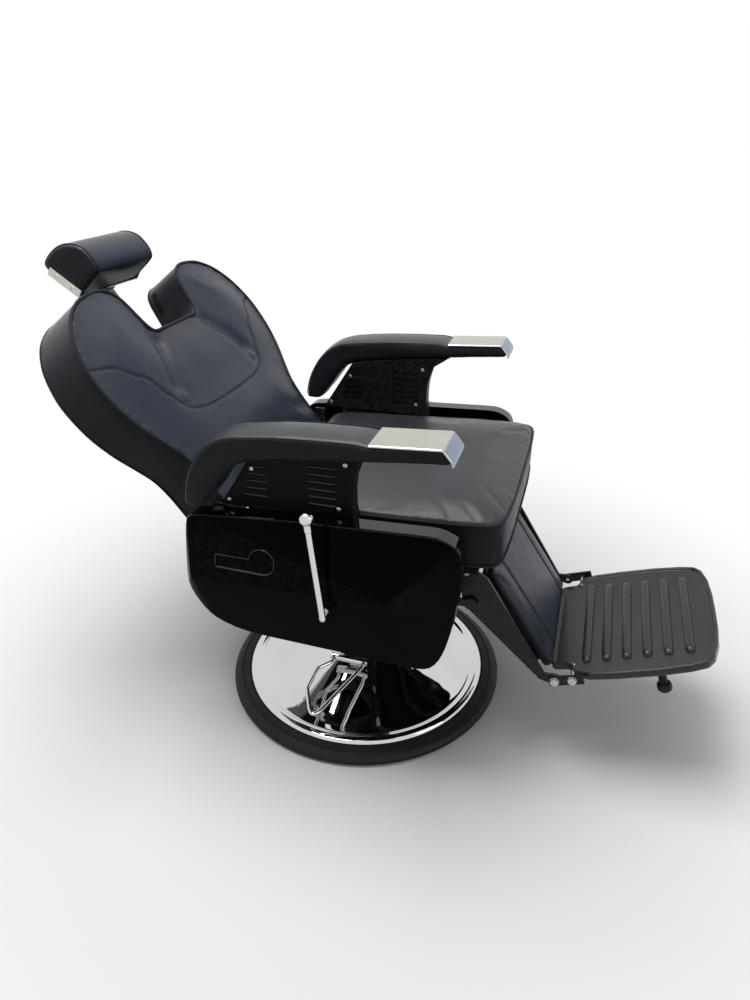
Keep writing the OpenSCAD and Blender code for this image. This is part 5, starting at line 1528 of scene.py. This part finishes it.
    def panels(self) -> None:
        """The moulded louvred panels, their hoods and their screws."""
        size, at = self.PANEL
        line = self.panel_outline()
        x0, x1 = 260.1, self.panel_out
        levels = ((0.0, x0), (0.0, x1 - 2.2), (0.4, x1 - 1.0), (1.2, x1 - 0.3), (2.6, x1), (5.2, x1),
                  (6.4, x1 - 0.5), (7.0, x1 - 1.6))
        rings = [ring_at(line, inset, x, 0) for inset, x in levels]
        shell = make("grille_moulding_left", *loft(rings), sharp=50)
        face = x1 - 1.6
        rows = [(-46.0, 55.0, 0.0), (88.0, 52.0, 5.0)]
        pitch, lowest = 0.1 * size[1], at[1] + size[1] * 0.17
        for y, long, lean in rows:
            for i in range(self.hoods):
                z = lowest + i * pitch
                end = y + long - i * lean
                cut(shell, make("slot", *boxed((face - 3.0, y + 2, z - 0.6), (face + 5, end - 2, z + 2.2))))
        shade(shell.data, 45)
        hoods = []
        for y, long, lean in rows:
            hood = self.hood(long)
            start = Vector((face, y + long / 2, lowest + 3.9)) * MM
            step = Vector((0, -lean / 2, pitch)) * MM
            # The hoods' lighter finish paints a highlight along each louvre.
            hoods.append(Grower.ROW.grow("hoods", [[Vector((0, 0, 0))]], sharp=50, Shape=hood,
                                         Count=self.hoods, Start=tuple(start), Step=tuple(step),
                                         Growth=(0.0, -lean / long, 0.0), Material=RIDGE.material()))
            bpy.data.objects.remove(hood)
        hood = joined("grille_hoods_left", hoods)
        # The bright strip under each panel is a painted highlight.
        film = self.film()
        TEXTURED.on(shell)
        marks = spread(((0.765, 0.56), (0.155, 0.77), (0.94, 0.08), (0.205, 0.17)), size, at)
        for side, s in SIDES.items():
            self.keep(on_side(shell, side), "seat", "louvre_plastic", None, [f"grille_outer_{side}"])
            self.keep(on_side(hood, side), "seat", "louvre_plastic")
            self.keep(on_side(film, side), "seat", "steel_zinc")
            for where, x, way, high, seed, stands_for in (
                    ("outer", face - 0.1, s, 2.2, 5, ["grille_screws"]),
                    ("inner", self.panel_in + 0.1, -s, 2.0, 9, [])):
                places = [[CHAIR.at((s * x, y, z))] for y, z in marks]
                screws = Fastener(4.5, high).set_in(f"grille_screws_{where}_{side}", places,
                                                    Vector((way, 0, 0)), ZINC, seed)
                self.keep(screws, "seat", "steel_zinc", None, stands_for)

    def film(self) -> bpy.types.Object:
        """Bright zinc cords with a torn edge under a louvred panel: a painted highlight along its foot."""
        runs, steps = [], 14
        for k, (y0, y1) in enumerate(((172.0, 118.0), (110.0, 42.0), (34.0, -12.0), (-20.0, -56.0))):
            run = []
            for i in range(steps + 1):
                y = y0 + (y1 - y0) * i / steps
                z = 584.5 - 2.2 * ramp(y, 60, 172) + 1.6 * noise.noise(Vector((y * 0.13, k * 5.0, 1.0)))
                run.append((self.panel_out - 2.0 + 1.4 * noise.noise(Vector((y * 0.2, k * 3.0, 7.0))), y, z))
            runs.append(piping("run", run, CHAIR, 1.0, False, ZINC))
        return joined("grille_film_edge_left", runs)

    def hood(self, long: float) -> bpy.types.Object:
        """One louvre hood about its own middle: a rounded ridge along Y that stands out along X."""
        n = 12
        section = [(-0.4, -2.4), (1.2, -2.3), (2.3, -1.5), (2.6, -0.2), (2.2, 1.1), (1.1, 2.2), (-0.4, 2.6)]
        rings = []
        for k in range(n + 1):
            t = k / n * 2 - 1
            fade = math.sqrt(max(0.0, 1 - max(0.0, (abs(t) - 0.86) / 0.14) ** 2))
            rings.append([(-0.4 + (x + 0.4) * (0.15 + 0.85 * fade), long / 2 * t, z * (0.4 + 0.6 * fade))
                          for x, z in section])
        return make("hood", *loft(rings), sharp=50)

    def build(self) -> None:
        """Every piece of both arms."""
        self.pad()
        self.cap()
        self.panels()


@dataclass
class Covers(Part):
    """The glossy side covers: a hipped face with a lip, and a pocket in the right one."""

    near: float = 288.0
    deep: float = 57.0
    rear_low: Pair = (-284.0, 313.0)
    size: Pair = (546.0, 294.0)
    wall: float = 3.0
    hip: float = 22.0
    fall: float = 4.0

    SHARES = ((0, 0.74), (0.005, 0.878), (0.027, 0.956), (0.088, 1), (0.234, 0.992), (0.56, 0.966),
              (0.77, 0.935), (0.93, 0.903), (0.968, 0.86), (0.985, 0.684), (1, 0.364), (0.965, 0.207),
              (0.907, 0.095), (0.813, 0.034), (0.7, 0.015), (0.161, 0), (0.092, 0.027), (0.051, 0.153),
              (0.024, 0.364))
    RIDGE = ((0.242, 0.527), (0.68, 0.475), (0.965, 0.45))

    def shell(self) -> bpy.types.Object:
        """One cover on the sitter's left: a lip round a hull that rises to its ridge."""
        line = flowing(spread(self.SHARES, self.size, self.rear_low), 3)
        top = self.near + self.deep
        rim = top - self.hip
        ridge = spread(self.RIDGE, self.size, self.rear_low)
        bm = bmesh.new()
        for x, inset in ((self.near, 0.0), (rim - 2.6, 0.0), (rim - 0.9, 0.8), (rim, 2.6)):
            for y, z in drawn_in(line, inset):
                bm.verts.new(CHAIR.at((x, y, z)))
        for k, (y, z) in enumerate(ridge):
            for u, v in circle(2.5, 12):
                bm.verts.new(CHAIR.at((top - k * self.fall, y + u, z + v)))
        bmesh.ops.convex_hull(bm, input=bm.verts)
        loose = [v for v in bm.verts if not v.link_faces]
        bmesh.ops.delete(bm, geom=loose, context="VERTS")
        back = [f for f in bm.faces if all(abs(v.co.x - self.near * MM) < 1e-6 for v in f.verts)]
        bmesh.ops.delete(bm, geom=back, context="FACES_ONLY")
        bmesh.ops.dissolve_limit(bm, angle_limit=math.radians(1.0), verts=bm.verts, edges=bm.edges)
        bmesh.ops.recalc_face_normals(bm, faces=bm.faces)
        mesh = bpy.data.meshes.new("side_cover_moulding_left")
        bm.to_mesh(mesh)
        bm.free()
        shell = placed("side_cover_moulding_left", mesh)
        if sum(p.normal.x * p.area for p in mesh.polygons) < 0:
            mesh.flip_normals()
        wall = shell.modifiers.new("Wall", "SOLIDIFY")
        wall.thickness, wall.offset = self.wall * MM, -1.0
        settled(shell)
        return bevelled(shell, 1.8, 3, 8, 50)

    def pocket(self, cover: bpy.types.Object) -> None:
        """Sink a keyhole-shaped pocket into the right cover, square to its face."""
        (y, z), r = (88.0, 504.0), 26.0
        turns = [math.radians(a) for a in range(4, 271, 9)]
        ring = [(y + r * math.cos(a), z + r * math.sin(a)) for a in turns]
        line = even(rounded([*ring, (y + 98, z - r - 1), (y + 98, z)], 2.0, 3), 3.0)
        tree = BVHTree.FromObject(cover, bpy.context.evaluated_depsgraph_get())
        rings = []
        for inset, sink in ((1.2, 1.9), (0.0, 0.5), (0.0, -6.0)):
            ring = []
            for u, v in drawn_in(line, inset):
                hit = tree.ray_cast(CHAIR.at((-500, u, v)), Vector((1, 0, 0)))[0]
                ring.append((hit.x / MM + sink, u, v))
            rings.append(ring)
        lip = [(p[0] - 1.1, p[1], p[2]) for p in rings[1]]
        cut(cover, make("tool", *loft(rings)))
        bevelled(cover, 0.7, 2, 40, 50)
        # The lighter lip cord paints a highlight round the pocket's edge.
        self.keep(piping("side_cover_pocket_lip", lip, CHAIR, 0.9, finish=LIP_HIGHLIGHT), "seat", "cover_plastic")

    def build(self) -> None:
        """Both covers, and the pocket in the right one."""
        left = self.shell()
        right = twin(left)
        self.pocket(right)
        for cover in (left, right):
            GLOSS.on(flat_faced(cover))
        for cover, side in ((left, "left"), (right, "right")):
            self.keep(cover, "seat", "cover_plastic", None, [f"side_cover_{side}"])


@dataclass
class Lever(Part):
    """The recline lever: a chrome rod on its shaft, with a ball on top."""

    pivot: Pair = (-41.0, 431.0)
    x: float = -365.0
    lean: float = 5.6
    length: float = 202.0
    rod: float = 6.0
    ball: float = 13.0

    def turned_piece(self, name: str, profile: Sequence[Pair], place: Place) -> bpy.types.Object:
        """A shape turned about the rod's axis, from radii and heights."""
        piece = turned(name, [*profile, (0.0, profile[-1][1]), (0.0, profile[0][1])], 48, CHROME, 30)
        set_at(piece, place, (self.x, 0.0, 0.0))
        return piece

    def build(self) -> None:
        """The rod, with its rounded foot and neck, and the ball."""
        place = Place(*self.pivot, self.lean)
        r, top = self.rod, self.length - self.ball - 12
        rod = [(0.4, -10.5), (3.0, -10.2), (5.6, -8.6), (6.7, -6.0), (6.9, -3.0), (r, 3.0), (r, top + 3.0)]
        stem = self.turned_piece("lever_rod", rod, place)
        rings = [[(x, *p) for p in circle(radius, 32)]
                 for x, radius in ((self.x + 1, 4.5), (self.x + 1, 5.6), (-129.0, 5.6), (-128.0, 4.6))]
        shaft = make("lever_shaft", *loft(rings), place=Place(*self.pivot))
        finger = make("lever_finger", *boxed((-140, self.pivot[0] - 3, self.pivot[1] - 17),
                                             (-128, self.pivot[0] + 3, self.pivot[1])))
        bevelled(finger, 0.8, 2)
        rods = joined("lever_rod", [stem, shaft, finger])
        self.keep(rods, "lever", "steel_chrome", None, ["recline_lever"])
        n = 20
        ball = [(6.6, top), (7.2, top + 1.0), (7.2, top + 7.4)]
        ball += [(self.ball * math.cos(a), self.length + self.ball * math.sin(a))
                 for a in (math.radians(-54 + 143.9 * k / n) for k in range(n + 1))]
        knob = self.turned_piece("lever_ball_knob", ball, place)
        self.keep(knob, "lever", "steel_chrome", None, ["lever_ball"])


@dataclass
class Headrest(Part):
    """The headrest: a sewn roll, with a steel flange and screws at each end."""

    half: float = 100.0
    deep: float = 114.0
    high: float = 93.0
    gap: float = 11.6
    front: float = -26.0

    SECTION = ((0.167, 0), (0.85, 0), (0.965, 0.035), (1, 0.11), (0.985, 0.28), (0.935, 0.48), (0.85, 0.68),
               (0.73, 0.84), (0.58, 0.95), (0.43, 1), (0.3, 0.985), (0.18, 0.945), (0.075, 0.88),
               (0.01, 0.8), (0, 0.73), (0.03, 0.55), (0.096, 0.27), (0.145, 0.055))

    def section(self, scale: float = 1.0) -> list[Pair]:
        """The roll's outline seen from its end."""
        line = spread(self.SECTION, (self.deep, self.high), (self.front, self.gap))
        line = flowing(line, 5)
        c = (self.front + self.deep / 2, self.gap + self.high * 0.45)
        return [(c[0] + (y - c[0]) * scale, c[1] + (z - c[1]) * scale) for y, z in line]

    def build(self) -> None:
        """The roll, its piping, its flanges and its screws."""
        ends = ((100, 0.84), (99, 0.9), (97, 0.94), (93, 0.965), (84, 0.985), (40, 0.995))
        stations = (*((-x, s) for x, s in ends), (0, 0.996), *reversed(ends))
        rings = [[(x * self.half / 100, y, z) for y, z in self.section(s)] for x, s in stations]
        roll = make("headrest_roll", *loft(rings), place=HEAD)
        rim = self.section(0.965)
        track = Track(rim, closed=True)

        def held(p: Vector) -> float:
            """The flat side lies on its tray, and the end seams are held."""
            seam = abs(abs(p.x) - self.half + 7) < 4.0 and track.near(p.y, p.z) < 6
            return 1.0 if p.z < self.gap + 3 or seam else 0.0

        Stuffing(voxel=4.4, cap=4.0, calm=2).swell(roll, HEAD, held)
        moved(roll, HEAD, lambda p: (0.0, lively(p, 60, 0.5), 0.0))
        self.keep(roll, "headrest", "foam", LEATHER, ["headrest_pad"], fill=0.9)
        cords = [piping("cord", [(s * (self.half - 6.5), y, z) for y, z in self.section(0.968)], HEAD, 1.3)
                 for s in (-1, 1)]
        self.keep(joined("headrest_piping", cords), "headrest", "foam")
        self.tray()

    def tray(self) -> None:
        """The steel flanges at both ends and their screws."""
        for side, s in SIDES.items():
            x0, x1 = self.half + 0.3, self.half + 2.6
            low, high = self.gap - 3, self.gap + 12
            line = rounded([(-9, low), (68, low), (68, high), (-9, high)], 5.0, 5)
            ends = sorted((s * x0, s * x1))
            flange = make(f"headrest_flange_{side}", *slab(line, *ends, "yzx"), place=HEAD)
            bevelled(flange, 0.5, 2, 40)
            self.keep(flange, "headrest", "cap_steel", BRUSHED)
            places = [[HEAD.at((s * x1, y, self.gap + 6.0))] for y in (10.25, 48.75)]
            screws = Fastener(4.4, 1.5).set_in(f"headrest_screw_{side}", places, Vector((s, 0, 0)), ZINC, 4)
            self.keep(screws, "headrest", "steel_zinc", None, ["headrest_screws"])


@dataclass
class Legrest(Part):
    """The leg pad, with two sewn seams down it."""

    half: float = 151.0
    top: float = -34.0
    length: float = 251.0
    board: float = -14.0
    thick: float = 22.0

    def build(self) -> None:
        """The pad and its stitches."""
        z1, z0 = self.top, self.top - self.length
        line = rounded([(-self.half, z0), (self.half, z0), (self.half, z1), (-self.half, z1)], 9.0, 6)
        line = even(line, 8.0)
        levels = ((1.5, 0), (0.5, 4), (0.5, 15), (2.5, 20), (7.0, self.thick), (30.0, self.thick + 1.0))
        rings = [ring_at(line, inset, self.board - out, 1) for inset, out in levels]
        pad = make("leg_pad_sewn", *loft(rings), place=LEG)

        def held(p: Vector) -> float:
            """The rear face lies on its board."""
            return 1.0 if p.y > self.board - 5 else 0.0

        Stuffing(voxel=4.6, cap=2.2, calm=2, pressure=2.0).swell(pad, LEG, held)
        across = 0.64 * self.half
        seams = [Seam(((s * across, z0 - 20), (s * across, z1 + 20)), 3.2, 4.2, pucker=0.5) for s in (-1, 1)]

        def detail(p: Vector) -> Triple:
            """The two seams and a soft crown between them."""
            if p.y > self.board - 12:
                return 0.0, 0.0, 0.0
            ends = min(p.z - z0, z1 - p.z, self.half - abs(p.x))
            y = sum(s.pull(p.x, p.z) for s in seams) - 3.0 * bell(p.x, 80) * ramp(ends, 4, 50)
            return 0.0, y + lively(p, 70, 0.7) * ramp(ends, 3, 30), 0.0

        moved(pad, LEG, detail)
        self.keep(pad, "legrest", "foam", LEATHER, ["leg_pad"], fill=0.7)
        rows = [[(s * across + g, self.board - 30, z0 + 8 + (self.length - 16) * k / 60) for k in range(61)]
                for s in (-1, 1) for g in (-3.4, 3.4)]
        self.keep(stitching("leg_pad_stitches", laid_on(rows, pad, LEG, 0.1), LEG), "legrest", "foam")


@dataclass
class Footplate(Part):
    """The ribbed metal footplate, its bolt heads and its rubber feet."""

    half: float = 181.0
    length: float = 324.0
    near: float = 12.0
    top: float = 5.0
    rim: float = 4.0
    skirt: float = 16.0
    ridges: int = 6
    feet_at: Pair = (0.87, 0.651)
    strap: float = 190.3

    SHARES = ((0, 0), (0.78, 0), (0.79, 0.128), (0.93, 0.142), (0.99, 0.25), (1, 0.42), (0.99, 0.65),
              (0.955, 0.82), (0.91, 0.915), (0.82, 0.955), (0.6, 0.985), (0.3, 0.998), (0, 1))

    def outline(self) -> list[Pair]:
        """The plate's outline from above, rounded at its corners."""
        half = [(u * self.half, self.near - v * self.length) for u, v in self.SHARES]
        return even(rounded(mirrored(half), 16.0, 6), 4.0)

    def tray(self) -> None:
        """The pressed tray: a rolled bead round a sunk tread, and a skirt below."""
        line = self.outline()
        skirt = self.skirt
        drops = ((4.0, 7.0), (4.0, skirt), (0.6, skirt), (0.0, skirt - 1.0), (0.0, 3.0), (0.5, 1.2),
                 (1.6, 0.2), (3.0, -0.2), (5.0, -0.2), (6.4, 0.4), (7.4, 1.8), (8.2, 3.4), (9.4, 4.4),
                 (10.6, 4.6))
        rings = [ring_at(line, inset, self.top - drop, 2) for inset, drop in drops]
        tray = make("footplate_tray", *loft(rings), place=FOOT, sharp=50)
        self.keep(tray, "foot", "foot_metal", TRAY, ["footplate"])

    def rib(self) -> bpy.types.Object:
        """One pressed rib about its middle, rounded over and at its ends."""
        half, wide, high = self.half * 0.76, 9.5, 7.4
        n, m = 28, 10
        rings = []
        for k in range(n + 1):
            t = k / n * 2 - 1
            s = math.copysign(1 - (1 - abs(t)) ** 1.6, t)
            x = half * s
            end = max(0.0, (abs(x) - (half - wide * 1.4)) / (wide * 1.4))
            fade = math.sqrt(max(0.0004, 1 - end**2))
            ring = []
            for j in range(m + 1):
                a = math.pi * j / m
                ring.append((x, -wide * math.cos(a) * (0.25 + 0.75 * fade),
                             -0.4 + (high + 0.4) * math.sin(a) ** 0.8 * fade))
            rings.append([*ring, (x, wide * 0.9 * fade, -0.6), (x, -wide * 0.9 * fade, -0.6)])
        return make("rib", *loft(rings), sharp=60)

    def ribs(self) -> None:
        """Six ribs across the tread, each a little narrower than the last."""
        rib = self.rib()
        first, last = (self.near - self.length * s for s in (0.222, 0.828))
        start = (0.0, first * MM, (self.top - self.rim) * MM)
        step = (0.0, (last - first) / (self.ridges - 1) * MM, 0.0)
        grown = Grower.ROW.grow("footplate_ribs", [[Vector((0, 0, 0))]], Shape=rib, Count=self.ridges,
                                Start=start, Step=step, Growth=(-0.0132, 0.0, 0.0),
                                Material=TRAY.material())
        bpy.data.objects.remove(rib)
        set_at(grown, FOOT)
        self.keep(grown, "foot", "foot_metal")

    def feet(self) -> None:
        """The rubber feet under the plate, with moulded rings."""
        profile = [(0.0, -62.0), (9.0, -62.0), (12.6, -60.6), (14.0, -58.0), (14.0, -49.5), (13.0, -46.5),
                   (10.6, -44.6), (7.6, -44.0), (7.0, -42.0), (7.0, -36.0), (8.2, -34.5), (8.2, -31.5),
                   (7.0, -30.0), (7.0, -4.0), (0.0, -4.0)]
        for side, s in SIDES.items():
            foot = turned(f"foot_rubber_{side}", profile, 40, RUBBER, 40)
            across, along = self.feet_at
            set_at(foot, FOOT, (s * across * self.half, self.near - along * self.length, 0.0))
            self.keep(foot, "foot", "bumper_rubber", None, ["foot_bumpers"])

    def bolts(self) -> None:
        """The zinc bolts of the straps."""
        for side, s in SIDES.items():
            places = [[FOOT.at((s * self.strap, y, 0))] for y in (0, -35)]
            bolts = Fastener(8.0, 4.2, 6, 9.0).set_in(f"foot_bolt_heads_{side}", places, Vector((s, 0, 0)),
                                                      ZINC, 2)
            self.keep(bolts, "foot", "steel_zinc")

    def build(self) -> None:
        """Every piece of the footplate."""
        self.tray()
        self.ribs()
        self.feet()
        self.bolts()


SLOT_FINISHES = {
    "ballast": IRON, "dome_chrome": CHROME, "base_rubber": RUBBER, "steel_dark": PAINT,
    "steel_chrome": CHROME, "steel_zinc": ZINC, "plywood": CLOTH, "cap_steel": BRUSHED,
    "louvre_plastic": TEXTURED, "cover_plastic": GLOSS, "foot_metal": TRAY, "bumper_rubber": RUBBER,
    "foam": LEATHER,
}


def dress_nodes() -> None:
    """Give every carried-over node the finish of its slot; black cloth covers the boards."""
    slots = {row["node"]: row.get("material_slot") for row in frame["record"]["subparts"]}
    for name, node in frame["nodes"].items():
        SLOT_FINISHES.get(slots.get(name), PAINT).on(node)
    BAR_STEEL.on(frame["nodes"]["headrest_bar"])


def main() -> None:
    """Build the room and every sub-assembly, and report each piece."""
    Studio().build()
    dress_nodes()
    for part in (Base(), Pedal(), Seat(), Backrest(), Arms(), Covers(), Lever(), Headrest(), Legrest(),
                 Footplate()):
        part.build()
        LOG.info("%s: %d pieces", type(part).__name__, len(part.made))


if __name__ == "__main__":
    main()
